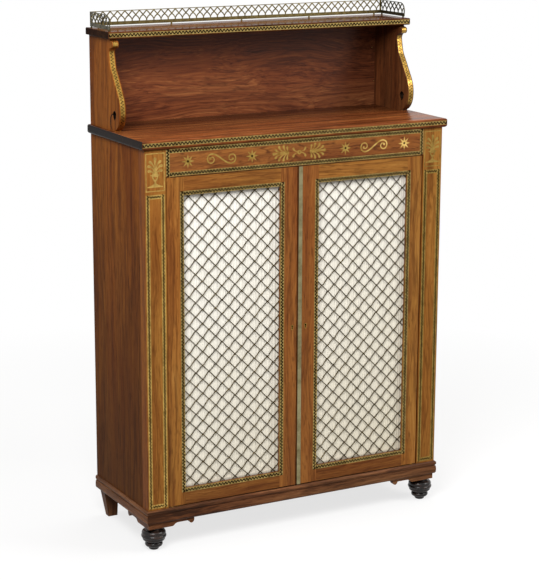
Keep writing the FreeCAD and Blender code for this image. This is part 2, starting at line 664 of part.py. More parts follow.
def opening_band(opening):
    """Brass band round the opening, let into the front of the door."""
    return frame_ring(opening[0] - BAND_W, opening[1] + BAND_W, OPEN_Z0 - BAND_W, OPEN_Z1 + BAND_W,
                      BAND_W, FRONT_Y, INLAY_T)


def keyhole(x, wall, depth):
    """A round hole over a short slot; wall widens it to the outside of its brass liner."""
    top = LOCK_Z + KEY_HOLE_H / 2 - KEY_HOLE_R
    half = KEY_SLOT_W / 2 + wall
    return joined([rod(x, FRONT_Y, top, KEY_HOLE_R + wall, depth, V(0, 1, 0)),
                   box(x - half, x + half, FRONT_Y, FRONT_Y + depth,
                       LOCK_Z - KEY_HOLE_H / 2 - wall, top)])


def escutcheon(x):
    return keyhole(x, ESCUTCHEON_WALL, ESCUTCHEON_T).cut(keyhole(x, 0, ESCUTCHEON_T))


def door_pivots():
    """Right door's plates: the upper one carries its pin, the lower one is the socket."""
    upper = joined([pivot_plate(DOOR_Z1 - PIVOT_PLATE_T),
                    rod(PIVOT_X, PIVOT_Y, DOOR_Z1 - PIVOT_PLATE_T, PIN_R, PIVOT_PLATE_T + PIN_REACH)])
    lower = pivot_plate(DOOR_Z0).cut(pivot_hole(DOOR_Z0))
    return upper, lower


def carcase_pivots():
    """Carcase plates of the right door: a socket above, a collared pin below."""
    upper = pivot_plate(FRIEZE_Z).cut(pivot_hole(FRIEZE_Z))
    plate_z = FLOOR_Z - PIVOT_PLATE_T
    lower = joined([pivot_plate(plate_z),
                    rod(PIVOT_X, PIVOT_Y, plate_z, PIVOT_COLLAR_R, PIVOT_PLATE_T + DOOR_BOTTOM_GAP),
                    rod(PIVOT_X, PIVOT_Y, plate_z, PIN_R,
                        PIVOT_PLATE_T + DOOR_BOTTOM_GAP + PIN_REACH)])
    return upper, lower


def hinge_stile_cuts():
    """Seats of the pivot plates and the bore for the lower pin, in the right hinge stile."""
    return [pivot_plate(DOOR_Z0), pivot_plate(DOOR_Z1 - PIVOT_PLATE_T),
            pivot_bore(DOOR_Z0, PIN_BORE_DEPTH)]


def meeting_strip():
    """Rounded brass strip on the right door's meeting edge."""
    x0, x1 = RIGHT_DOOR[0], RIGHT_DOOR[0] + STRIP_W
    y = FRONT_Y
    middle = (x0 + x1) / 2
    face = outline(lambda p: V(p[0], p[1], DOOR_Z0), (x0, y + STRIP_LET_IN), (x0, y - STRIP_PROUD / 2),
                   ((middle, y - STRIP_PROUD), (x1, y - STRIP_PROUD / 2)), (x1, y + STRIP_LET_IN))
    return face.extrude(V(0, 0, DOOR_Z1 - DOOR_Z0))


def lock_case():
    """Lock body let into the back of the right meeting stile, with the bolt's channel."""
    x0 = RIGHT_DOOR[0]
    return box(x0, x0 + LOCK_CASE_W, DOOR_BACK_Y - LOCK_CASE_T, DOOR_BACK_Y,
               LOCK_Z - LOCK_CASE_H / 2, LOCK_Z + LOCK_CASE_H / 2)


def lock_bolt(clearance=0.0, reach=0.0):
    """The sliding bolt, drawn back; clearance and reach make its channel and its mortise."""
    x0 = RIGHT_DOOR[0] + BOLT_CLEARANCE
    y = DOOR_BACK_Y - LOCK_CASE_T / 2
    return box(x0 - reach - clearance, x0 + BOLT_L + clearance, y - BOLT_T / 2 - clearance,
               y + BOLT_T / 2 + clearance, LOCK_Z - BOLT_H / 2 - clearance,
               LOCK_Z + BOLT_H / 2 + clearance)


def strike_plate():
    x1 = LEFT_DOOR[1]
    y = DOOR_BACK_Y - LOCK_CASE_T / 2
    return box(x1 - STRIKE_T, x1, y - STRIKE_W / 2, y + STRIKE_W / 2,
               LOCK_Z - STRIKE_H / 2, LOCK_Z + STRIKE_H / 2)


def flush_bolt(end_z, direction):
    """Round bolt in the left meeting stile, drawn back, with its thumb knob at the back."""
    end = end_z - direction * BOLT_CLEARANCE
    shank = rod(FLUSH_BOLT_X, FLUSH_BOLT_Y, end, FLUSH_BOLT_R, FLUSH_BOLT_L, V(0, 0, -direction))
    knob_z = end - direction * (FLUSH_BOLT_L - KNOB_R)
    knob_y = DOOR_BACK_Y + BOLT_CLEARANCE
    neck = rod(FLUSH_BOLT_X, FLUSH_BOLT_Y, knob_z, KNOB_NECK_R, knob_y - FLUSH_BOLT_Y, V(0, 1, 0))
    knob = rod(FLUSH_BOLT_X, knob_y, knob_z, KNOB_R, KNOB_T, V(0, 1, 0))
    return joined([shank, neck, knob])


def flush_bolt_room(end_z, direction):
    """Bore and slot that a flush bolt moves in."""
    bore = rod(FLUSH_BOLT_X, FLUSH_BOLT_Y, end_z + direction * EXTRA, FLUSH_BOLT_R + FLUSH_CLEARANCE,
               FLUSH_BOLT_L + 2 * EXTRA, V(0, 0, -direction))
    knob_z = end_z - direction * (BOLT_CLEARANCE + FLUSH_BOLT_L - KNOB_R)
    far_z = knob_z + direction * FLUSH_BOLT_THROW
    room = KNOB_NECK_R + BOLT_CLEARANCE
    slot = box(FLUSH_BOLT_X - room, FLUSH_BOLT_X + room, FLUSH_BOLT_Y, DOOR_BACK_Y + EXTRA,
               min(knob_z, far_z) - room, max(knob_z, far_z) + room)
    return [bore, slot]


def flush_plate(end_z, direction):
    """Brass plate over a flush bolt, on the back of the stile, with the knob's slot."""
    half = FLUSH_PLATE_W / 2
    near = end_z - direction * FLUSH_PLATE_INSET
    z0, z1 = sorted((near, near - direction * FLUSH_PLATE_L))
    return box(FLUSH_BOLT_X - half, FLUSH_BOLT_X + half, DOOR_BACK_Y - FLUSH_PLATE_T, DOOR_BACK_Y,
               z0, z1)


# ---- superstructure ----
def upright_face(x):
    """S-shaped side: a roll hung under the shelf, a drawn-in neck and a full belly."""
    roll_d, roll_z = ROLL_FRONT - ROLL_R, UPPER_Z - ROLL_DROP
    turn_d, turn_h = roll_d - 0.27 * ROLL_R, 0.96 * ROLL_R
    z = BOARD_Z
    return outline(on_side(x), (0.0, z - UPPER_HOUSING), (0.0, UPPER_Z), (turn_d - 4.0, UPPER_Z),
                   ((turn_d - 3.0, roll_z + turn_h + 1.6), (turn_d, roll_z + turn_h)),
                   ((ROLL_FRONT, roll_z), (turn_d, roll_z - turn_h)),
                   ((NECK_D + 3.5, z + 174.5), (NECK_D, z + 163.5)),
                   [(NECK_D + 3.2, z + 148.0), (NECK_D + 8.0, z + 133.0), (NECK_D + 17.5, z + 119.0),
                    (BELLY_D - 27.5, z + 105.0), (BELLY_D - 17.5, z + 89.5), (BELLY_D - 8.0, z + 75.0),
                    (BELLY_D - 2.0, z + 60.0), (BELLY_D, z + 45.0), (BELLY_D - 1.8, z + 29.0),
                    (BELLY_D - 8.5, z + 15.0), (UPRIGHT_FOOT_D, z + UPRIGHT_QUIRK)],
                   (UPRIGHT_FOOT_D, z - UPPER_HOUSING))


def teardrop(x0, x1):
    """Pierced eye between the belly and the curled foot of the scroll."""
    d, z = BELLY_D - 27.0, BOARD_Z + 24.0
    face = outline(on_side(x0), (d, z), ((d + 6.5, z + 7.0), (d + 8.0, z + 15.0)),
                   ((d - 1.0, z + 21.0), (d - 8.5, z + 12.0)), ((d - 5.0, z + 5.0), (d, z)))
    return face.extrude(V(x1 - x0, 0, 0))


def curl_line(x0, x1):
    """Shallow incised line that draws the scroll's curled foot on the outer face."""
    d, z = BELLY_D - 27.0, BOARD_Z
    face = outline(on_side(x0), (d - 8.0, z + 38.0), ((d - 23.0, z + 22.0), (d - 12.0, z + 2.0)),
                   (d - 10.4, z + 3.0), ((d - 21.0, z + 22.0), (d - 7.0, z + 36.6)))
    return face.extrude(V(x1 - x0, 0, 0))


def upright_strip_rooms():
    """Room for the brass in the upright's front edge: down the S-curve, and on the roll."""
    x0 = -HALF_W + (UPRIGHT_T - UPRIGHT_STRIP_W) / 2
    wood = upright_face(x0 - EXTRA).extrude(V(UPRIGHT_STRIP_W + 2 * EXTRA, 0, 0))
    wood.translate(V(0, INLAY_T, 0))
    roll_z = UPPER_Z - ROLL_DROP
    reaches = [(NECK_D - 5.0, BOARD_Z + 16.0, BOARD_Z + 172.0),
               (ROLL_FRONT - ROLL_R, roll_z - ROLL_R + 1.0, roll_z + ROLL_R - 1.5)]
    return [box(x0, x0 + UPRIGHT_STRIP_W, BACK_Y - BELLY_D - EXTRA, BACK_Y - d, z0, z1).cut(wood)
            for d, z0, z1 in reaches]


def upright():
    """Left side of the superstructure, and the brass let into its front edge."""
    board = upright_face(-HALF_W).extrude(V(UPRIGHT_T, 0, 0))
    rooms = upright_strip_rooms()
    eye = teardrop(-HALF_W - EXTRA, -HALF_W + UPRIGHT_T + EXTRA)
    wood = board.cut([eye, curl_line(-HALF_W - EXTRA, -HALF_W + EXTRA)] + rooms)
    return wood, Part.makeCompound([board.common(room) for room in rooms])


def upper_back():
    x = HALF_W - UPRIGHT_T
    return box(-x, x, BACK_Y - BACK_T, BACK_Y, BOARD_Z - UPPER_HOUSING, UPPER_Z)


def upper_housings():
    """Shallow housings in the top board for the uprights' feet and the back's lower edge."""
    z0, z1 = BOARD_Z - UPPER_HOUSING, BOARD_Z + EXTRA
    foot = box(-HALF_W, -HALF_W + UPRIGHT_T, BACK_Y - UPRIGHT_FOOT_D, BACK_Y + EXTRA, z0, z1)
    back = box(-HALF_W, HALF_W, BACK_Y - BACK_T, BACK_Y + EXTRA, z0, z1)
    return [foot, mirrored(foot), back]


# ---- gallery ----
def gallery_holes(half, cells, place):
    """Piercings of a run of lattice: lozenges, arches below and small triangles above."""
    pitch, half_bar = 2 * half / cells, GALLERY_BAR / 2
    low, high = GALLERY_BASE_H, GALLERY_H - GALLERY_TOP_H
    stem, cross = low + GALLERY_STEM_H, low + GALLERY_CROSS_H
    lower = math.atan2(cross - stem, pitch / 2)
    upper = math.atan2(high - cross, pitch / 2)
    side = half_bar / math.sin((lower + upper) / 2)
    drop, rise = half_bar / math.cos(lower), half_bar / math.cos(upper)
    run = (high - cross - rise) / math.tan(upper)
    reach = pitch / 2 - half_bar
    bow_u, bow_z = GALLERY_BULGE * math.sin(lower), GALLERY_BULGE * math.cos(lower)
    arch_foot = cross - drop - reach * math.tan(lower)
    arch = [(0.0, cross - drop), (reach / 2 + bow_u, (arch_foot + cross - drop) / 2 + bow_z),
            (reach, arch_foot), (reach, low), (0.0, low)]
    triangle = [(0.0, cross + rise), (run, high), (0.0, high)]
    hip, belly_z = pitch / 2 - side, (stem + drop + cross) / 2 + bow_z
    lozenge = [(0.0, stem + drop), (hip / 2 - bow_u, belly_z), (hip, cross), (0.0, high - rise)]
    holes = []
    for i in range(cells + 1):
        m = i * pitch - half
        sides = [way for way in (1, -1) if abs(m + way * pitch / 2) < half]
        for shape in (arch, triangle):
            halves = [[(m + way * u, z) for u, z in shape] for way in sides]
            holes.append(halves[0] if len(halves) == 1 else halves[0][:-1] + halves[1][-2:0:-1])
        if i < cells:
            u0 = m + pitch / 2
            right = [(u0 + u, z) for u, z in lozenge]
            holes.append(right + [(u0 - u, z) for u, z in lozenge[-2:0:-1]])
    return [polygon(place, hole) for hole in holes]


def gallery_run(length, place, direction):
    """A straight pierced run, centred on its place."""
    half = length / 2 - GALLERY_BAR
    rim = polygon(place, [(-length / 2, 0), (length / 2, 0), (length / 2, GALLERY_H),
                          (-length / 2, GALLERY_H)])
    plate = Part.Face([rim] + gallery_holes(half, round(2 * half / GALLERY_PITCH), place))
    plate.validate()
    return plate.extrude(direction)


def gallery_pins(places, clearance=0.0):
    """Pins that carry the gallery; clearance makes the bores that they stand in."""
    height = GALLERY_PIN_SET + (EXTRA if clearance else GALLERY_LIFT)
    return [rod(x, y, TOP_SHELF_Z - GALLERY_PIN_SET, GALLERY_PIN_R + clearance, height)
            for x, y in places]


def back_pin_places():
    reach = TOP_SHELF_X - GALLERY_INSET - GALLERY_T - GALLERY_END_PIN
    step = 2 * reach / (GALLERY_BACK_PINS - 1)
    return [(i * step - reach, BACK_Y - GALLERY_INSET - GALLERY_T / 2)
            for i in range(GALLERY_BACK_PINS)]


def return_pin_places():
    """Places of the left return's two pins."""
    x = -TOP_SHELF_X + GALLERY_INSET + GALLERY_T / 2
    y1 = BACK_Y - GALLERY_INSET
    return [(x, y1 - 3 * GALLERY_PIN_R), (x, y1 - GALLERY_RETURN + 3 * GALLERY_PIN_R)]


def gallery_bores():
    places = back_pin_places() + [(way * x, y) for x, y in return_pin_places() for way in (1, -1)]
    return gallery_pins(places, PIN_CLEARANCE)


def gallery_back():
    y = BACK_Y - GALLERY_INSET
    x = TOP_SHELF_X - GALLERY_INSET - GALLERY_T
    z = TOP_SHELF_Z + GALLERY_LIFT
    run = gallery_run(2 * x, lambda p: V(p[0], y - GALLERY_T, z + p[1]), V(0, GALLERY_T, 0))
    return joined([run] + gallery_pins(back_pin_places()))


def gallery_return():
    """Left return, whose top rail sweeps down at the front."""
    x = -TOP_SHELF_X + GALLERY_INSET
    middle = BACK_Y - GALLERY_INSET - GALLERY_RETURN / 2
    z = TOP_SHELF_Z + GALLERY_LIFT

    def place(p):
        return V(x, middle - p[0], z + p[1])
    half = GALLERY_RETURN / 2
    run = gallery_run(GALLERY_RETURN, place, V(GALLERY_T, 0, 0))
    limit = outline(place, (-half, 0.0), (half, 0.0), (half, GALLERY_H - 22.0),
                    ((half - 4.0, GALLERY_H - 7.0), (half - GALLERY_SWEEP, GALLERY_H)),
                    (-half, GALLERY_H))
    rim = limit.cut(limit.makeOffset2D(-GALLERY_TOP_H)).extrude(V(GALLERY_T, 0, 0))
    shaped = run.common(limit.extrude(V(GALLERY_T, 0, 0)))
    return joined([shaped, rim] + gallery_pins(return_pin_places()))


# ---- build: carcase ----
post_brass = post_inlay()
save_pair("post_inlay", post_brass)
save_pair("post", corner_post(post_brass))
save_pair("side_panel", side_panel())
save("carcase_bottom", carcase_bottom())
save("carcase_back", back_panel())
save("inner_shelf", inner_shelf())
frieze_border = frame_ring(-FRIEZE_END_X, FRIEZE_END_X, FRIEZE_Z + FRIEZE_MARGIN / 2,
                           TOP_Z - FRIEZE_MARGIN, BAND_W, FRONT_Y, INLAY_T)
motifs = frieze_motifs()
save("frieze_border", frieze_border)
save("frieze_motifs", motifs)
save("frieze_rail", frieze_rail([frieze_border, motifs]))

board_x = HALF_W + BOARD_OVERHANG
board_y = FRONT_Y - BOARD_OVERHANG
board_brass = edge_band(board_x - EDGE_BAND_INSET, board_y, TOP_Z + BOARD_BOTTOM_ROUND,
                        BOARD_Z - BOARD_TOP_ROUND)
save("top_board_inlay", board_brass)
save("top_board", nosed_board(board_x, board_y, BACK_Y, TOP_Z, BOARD_Z, BOARD_TOP_ROUND,
                              BOARD_BOTTOM_ROUND).cut([board_brass] + upper_housings()))

# ---- build: base ----
save("plinth_front", plinth_front())
save_pair("plinth", plinth_side())
save_pair("bracket", corner_bracket())
save_pair("foot", turned_foot())
save_pair("leg", rear_leg())

# ---- build: doors ----
pivot_upper, pivot_lower = carcase_pivots()
save("pivot_seats", Part.makeCompound([pivot_upper, pivot_lower, mirrored(pivot_upper),
                                       mirrored(pivot_lower)]))
door_upper, door_lower = door_pivots()
save_pair("door_pivots", mirrored(Part.makeCompound([door_upper, door_lower])))

left, right, bottom, top, left_opening = door_members(LEFT_DOOR, HINGE_STILE_W,
                                                      LEFT_MEETING_STILE_W, True)
band = opening_band(left_opening)
hinge_cuts = [mirrored(cut) for cut in hinge_stile_cuts()]
bolt_ends = ((DOOR_Z1, 1), (DOOR_Z0, -1))
flush_rooms = [room for z, way in bolt_ends for room in flush_bolt_room(z, way)]
flush_plates = [flush_plate(z, way) for z, way in bolt_ends]
bolt_mortise = lock_bolt(MORTISE_CLEARANCE, BOLT_THROW)
strike = strike_plate()
save("door_left_hinge_stile", rounded_hinge_edge(left.cut([band] + hinge_cuts), LEFT_DOOR[0]))
save("door_left_meeting_stile", right.cut([band, strike, bolt_mortise,
                                           keyhole(KEY_X_LEFT, ESCUTCHEON_WALL, ESCUTCHEON_T),
                                           keyhole(KEY_X_LEFT, 0, BLIND_KEYHOLE_DEPTH)]
                                          + flush_rooms + flush_plates))
save("door_left_bottom_rail", bottom.cut(band))
save("door_left_top_rail", top.cut(band))
save("door_left_inlay", band)
save("door_left_grille", wire_grille(left_opening, (left_opening[0] + LEFT_WIRE_START[0],
                                                    OPEN_Z1 + LEFT_WIRE_START[1])))
save("door_left_silk", silk_panel(left_opening))
save("door_left_beads", glazing_beads(left_opening))
save("door_left_escutcheon", escutcheon(KEY_X_LEFT))
save("flush_bolt_top", flush_bolt(DOOR_Z1, 1))
save("flush_bolt_bottom", flush_bolt(DOOR_Z0, -1))
save("door_left_plates", Part.makeCompound([plate.cut(flush_rooms) for plate in flush_plates]
                                           + [strike.cut(bolt_mortise)]))

left, right, bottom, top, right_opening = door_members(RIGHT_DOOR, HINGE_STILE_W,
                                                       RIGHT_MEETING_STILE_W, False)
band = opening_band(right_opening)
strip = meeting_strip()
case = lock_case()
key_passage = keyhole(KEY_X_RIGHT, 0, DOOR_T - LOCK_CASE_T + KEY_REACH)
save("door_right_hinge_stile", rounded_hinge_edge(right.cut([band] + hinge_stile_cuts()),
                                                  RIGHT_DOOR[1]))
save("door_right_meeting_stile", left.cut([band, strip, case, key_passage,
                                           keyhole(KEY_X_RIGHT, ESCUTCHEON_WALL, ESCUTCHEON_T)]))
save("door_right_bottom_rail", bottom.cut(band))
save("door_right_top_rail", top.cut(band))
save("door_right_inlay", band)
save("door_right_grille", wire_grille(right_opening, (right_opening[1] + RIGHT_WIRE_START[0],
                                                      OPEN_Z0 + RIGHT_WIRE_START[1])))
save("door_right_silk", silk_panel(right_opening))
save("door_right_beads", glazing_beads(right_opening))
save("door_right_escutcheon", escutcheon(KEY_X_RIGHT))
save("meeting_strip", strip)
save("lock_case", case.cut([lock_bolt(BOLT_CLEARANCE, EXTRA), key_passage]))
save("lock_bolt", lock_bolt())

# ---- build: superstructure ----
upright_wood, upright_brass = upright()
save_pair("upright_inlay", upright_brass)
save_pair("upright", upright_wood)
save("upper_back", upper_back())
shelf_brass = edge_band(TOP_SHELF_X - EDGE_BAND_INSET, TOP_SHELF_Y, UPPER_Z + TOP_SHELF_ROUND,
                        TOP_SHELF_Z - TOP_SHELF_ROUND)
save("top_shelf_inlay", shelf_brass)
save("top_shelf", nosed_board(TOP_SHELF_X, TOP_SHELF_Y, BACK_Y, UPPER_Z, TOP_SHELF_Z,
                              TOP_SHELF_ROUND, TOP_SHELF_ROUND).cut([shelf_brass] + gallery_bores()))
save("gallery_back", gallery_back())
save_pair("gallery", gallery_return())
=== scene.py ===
import bisect
import math
import random

import bpy
from mathutils import Matrix, Vector
from mathutils.bvhtree import BVHTree


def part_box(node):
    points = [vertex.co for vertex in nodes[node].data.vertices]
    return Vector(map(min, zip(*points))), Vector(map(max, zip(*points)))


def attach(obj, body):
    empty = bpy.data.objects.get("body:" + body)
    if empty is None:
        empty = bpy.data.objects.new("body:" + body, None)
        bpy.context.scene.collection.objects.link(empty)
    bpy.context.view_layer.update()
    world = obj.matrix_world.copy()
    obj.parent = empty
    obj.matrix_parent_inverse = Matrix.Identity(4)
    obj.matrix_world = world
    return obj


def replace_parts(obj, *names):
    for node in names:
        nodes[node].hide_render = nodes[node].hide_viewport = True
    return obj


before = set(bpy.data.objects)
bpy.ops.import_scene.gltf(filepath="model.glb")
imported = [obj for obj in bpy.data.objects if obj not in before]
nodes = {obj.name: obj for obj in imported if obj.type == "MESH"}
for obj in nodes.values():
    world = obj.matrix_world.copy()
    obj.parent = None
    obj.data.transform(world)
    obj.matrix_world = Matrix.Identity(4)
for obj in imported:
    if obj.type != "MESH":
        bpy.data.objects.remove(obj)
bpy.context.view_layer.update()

random.seed(7)

MM = 0.001

# ---- camera ----
CAMERA_PLACE = (-1.981, -3.628, 1.514)
CAMERA_YAW = 28.65          # degrees to the right of straight ahead
CAMERA_PITCH = 13.45        # degrees down
CAMERA_ROLL = 0.23
CAMERA_LENS = 115.3
CAMERA_REACH = 100.0

# ---- light, floor and background ----
WHITE = (1.0, 1.0, 1.0)
WARM_WHITE = (1.0, 0.985, 0.96)
WORLD_LIGHT = 0.3
LIGHT_TARGET = (0.0, 0.0, 0.6)
LIGHTS = (                  # name, place, size, power and colour
    ("key_light", (2.0, -1.7, 2.1), (1.3, 1.3), 42.0, WARM_WHITE),
    ("front_light", (-1.3, -1.45, 2.1), (1.0, 1.0), 54.0, WHITE),
    ("top_light", (0.4, 0.25, 3.2), (1.3, 0.9), 30.0, WHITE),
)
FLOOR_HALF = 60.0
FLOOR_DROP = 0.2 * MM
FLOOR_BOUNCE = 0.25         # grey of the floor for the light that it throws on the object
FLOOR_PALE = 0.97           # grey of the floor as the camera sees it
FLOOR_GLOW = 0.74           # share of plain white in what the camera sees of the floor
SHADOW_REACH = (0.8, 1.8)   # from here to there the floor's shadow fades into plain white

# ---- brass inlay ----
BAND_W = 9.0 * MM
BAND_T = 1.2 * MM
BAND_FILLET = 1.1 * MM      # the plain brass line along each edge of a band
KEY_PERIOD = 7.5 * MM
EDGE_PERIOD = 8.3 * MM      # on the front edges of the two boards
KEY_LINE = 2.9 * MM         # width of the dark zigzag, along the band
GROUND_SUNK = 0.12 * MM     # how far the dark ground lies below the brass
RIBBON_W = 3.3 * MM         # width of the zigzag across the band, where it is laid on the brass
PROUD = 0.05 * MM
LINE_DEPTHS = (-PROUD, 4 * PROUD)            # front and back of a line that is laid on a face
TABLET_TO_PANEL = 89.0 * MM                  # from the top of a post's brass down to its long panel
STAR_X = 117.0 * MM
STAR_R = 15.5 * MM
STAR_EYE_R = 2.6 * MM
DOT_SIDES = 16
BACK_PINS = ((8.0 * MM, 139.0 * MM), (1.6 * MM, 59.0 * MM))     # from the back's right end and its foot
PIN_R = 1.1 * MM
PIN_PROUD = 0.8 * MM

# ---- uprights ----
# Outlines on an upright's face, in mm back from its belly and up from its foot.
CURL = ((35.0, 41.0), (50.0, 25.0), (39.0, 5.0))
CURL_W = 3.6 * MM
CURL_TIP = 0.1              # the curl's line ends this share of a wave before it would be a point
ARC_STEPS = 12
EYE = ((27.0, 27.0), (20.5, 34.0), (19.0, 42.0), (28.0, 48.0), (35.5, 39.0), (32.0, 32.0), (27.0, 27.0))
EYE_CENTRE = (27.0, 38.0)
EYE_SHADE_INNER = 0.85           # the inner outline of the painted shade round the eye's walls, as a share of the eye's
STRIP_STEP = 1.0 * MM       # between the points that are felt down a brass strip's front
STRIP_REACH = 0.1           # the points are felt for from this far in front
STRIP_FLAT = 0.8            # a spot whose normal rises more than this isn't the strip's front
STRIP_PERIOD = 7.2 * MM
STRIP_LINE = 2.3 * MM
ROLL_STRIP_H = 14.0 * MM

# ---- wire grilles ----
WIRE_R = 1.0 * MM
WEAVE = 0.9 * MM            # how far a wire bends out and in at a crossing
WIRE_PITCH_X = 32.1 * MM
WIRE_PITCH_Z = 31.5 * MM
WIRE_END = 5.5 * MM         # each wire runs this far past the opening
WIRE_JOG = 0.55 * MM        # sideways step of the rising wires at each crossing
FALLING_JOG = 0.2           # the falling wires' step, as a share of it
JOG_KINK = 0.35             # how much sharper than a plain wave the step is
JOG_FULL = 1.1
WIRE_SAMPLES = 10           # points from one crossing to the next
WIRE_SHORTEST = 0.2         # in crossings
LEFT_WIRE_START = (15.2 * MM, -4.8 * MM)     # first crossing from the opening's top left corner
RIGHT_WIRE_START = (-23.5 * MM, 9.7 * MM)    # first crossing from the opening's bottom right corner

# ---- silk ----
SILK_EDGE = 7.0 * MM        # the silk runs this far past the opening
SILK_T = 0.25 * MM
SILK_GAP = 0.03 * MM        # from the front of its room to the silk
FOLD_PITCH = (4.0 * MM, 9.0 * MM)
FOLD_DEPTH = 1.3 * MM
FOLD_HELD = 0.9 * MM        # depth of the folds where the beads hold them
FOLD_FREE = 10.0 * MM       # they reach their full depth this far inside the opening
FOLD_SHARES = (0.45, 1.0)   # least and most of the depth that a fold takes
FOLD_DRIFT = 1.6 * MM       # how far a fold leans from top to bottom
SILK_STEP = 0.8 * MM
SILK_ROWS = 56


# ---- small helpers ----
def linear(red, green, blue):
    """A colour given as 0 to 255 screen values, in Blender's linear light."""
    def one(value):
        value /= 255.0
        return value / 12.92 if value <= 0.04045 else ((value + 0.055) / 1.055) ** 2.4
    return one(red), one(green), one(blue), 1.0


def add(tree, kind, inputs=None, **settings):
    """Adds a shader node. An input's value is a number, a vector or another node's socket."""
    node = tree.nodes.new("ShaderNode" + kind)
    for key, value in settings.items():
        setattr(node, key, value)
    for key, value in (inputs or {}).items():
        if isinstance(value, bpy.types.NodeSocket):
            tree.links.new(value, node.inputs[key])
        else:
            node.inputs[key].default_value = value
    return node


def new_material(name, **values):
    material = bpy.data.materials.new(name)
    material.use_nodes = True
    tree = material.node_tree
    surface = tree.nodes["Principled BSDF"]
    for key, value in values.items():
        surface.inputs[key.replace("_", " ")].default_value = value
    return material, tree, surface


def maths(tree, operation, first, second=0.0, third=0.0):
    return add(tree, "Math", {0: first, 1: second, 2: third}, operation=operation).outputs[0]


def vectors(tree, operation, first, second):
    return add(tree, "VectorMath", {0: first, 1: second}, operation=operation).outputs[0]


def spread(tree, value, start, end, low=0.0, high=1.0):
    """Takes the range from start to end over to the range from low to high, and clamps it there."""
    return add(tree, "MapRange", {"Value": value, "From Min": start, "From Max": end,
                                  "To Min": low, "To Max": high}).outputs[0]


def blend(tree, share, first, second):
    return add(tree, "MixRGB", {"Fac": share, "Color1": first, "Color2": second}).outputs[0]


def ramp(tree, value, stops):
    """A colour for each value. stops are pairs of a position and a tone in screen values."""
    node = add(tree, "ValToRGB", {"Fac": value})
    node.color_ramp.interpolation = "LINEAR"
    elements = node.color_ramp.elements
    while len(elements) < len(stops):
        elements.new(0.5)
    for element, (position, tone) in zip(elements, stops):
        element.position = position
        element.color = linear(*tone)
    return node.outputs["Color"]


def noise(tree, vector, scale, detail=2.0, rough=0.5):
    return add(tree, "TexNoise", {"Vector": vectors(tree, "MULTIPLY", vector, scale), "Scale": 1.0,
                                  "Detail": detail, "Roughness": rough})


def bump(tree, surface, height, strength, distance):
    node = add(tree, "Bump", {"Height": height, "Strength": strength, "Distance": distance})
    tree.links.new(node.outputs["Normal"], surface.inputs["Normal"])


def paint_gradient(tree, place, colour, axis, start, end, tint):
    """Paints light and shade: the colour goes over to colour times tint, from start to end along an axis.
    """
    along = add(tree, "SeparateXYZ", {0: place}).outputs[axis]
    return blend(tree, spread(tree, along, start, end), colour, vectors(tree, "MULTIPLY", colour, tint))


# ---- wood ----
# Each noise in wood: its waves per metre along and across the grain, its detail and its roughness.
DRIFT = (2.4, 8.0, 2.0, 0.5)            # the slow bend of the grain
BROAD = (1.3, 10.0, 2.0, 0.5)           # broad light and dark figure
STREAKS = (2.8, 62.0, 4.0, 0.6)
FIBRES = (13.0, 430.0, 2.0, 0.6)
VEINS = (1.4, 26.0, 3.0, 0.55)          # thin dark lines
PORES = (42.0, 270.0, 2.0, 0.55)        # short dark flecks
PATCHES = (2.2, 17.0, 2.0, 0.5)         # where the wood turns russet

NOISE_MIDDLE = 0.5
NOISE_SPAN = (0.3, 0.7)                 # where most of a noise's values lie
SEED_STEP = (1.7, 0.9, 2.3)             # metres from one seed's wood to the next one's
GRAIN_WANDER = 0.05                     # metres that the grain bends aside at swirl 1
GRAIN_TURN = {"x": (0.0, 0.0, 0.0), "y": (0.0, 0.0, math.pi / 2), "z": (0.0, math.pi / 2, 0.0)}
MIDDLE_TONE = 0.52                      # place among the tones where all noises are at their middle
FIGURE_SPREAD = 1.5
STREAK_SPREAD = 1.7
FIBRE_SPREAD = 1.2
TONE_STOPS = (0.05, 0.35, 0.62, 0.95)   # places of the four tones
VEIN_HALF = 0.03                        # a vein is where its noise is this near to its middle
PORE_RANGE = (0.54, 0.72)
RUSSET_RANGE = (0.42, 0.66)
RUSSET_TINT = (0.8, 0.6, 0.55)
SIDE_FACING = 0.6                       # least X of the normal of a face that looks sideways
WOOD_GLOSS = (-0.04, 0.08)              # least and most that the streaks add to the roughness
WOOD_BUMP = (0.1, 0.3 * MM)             # strength and distance


def grain_noise(tree, flow, kind, close=1.0, output="Fac"):
    """One of the noises above, drawn out along the grain."""
    along, across, detail, rough = kind
    return noise(tree, flow, (along, across * close, across * close), detail, rough).outputs[output]


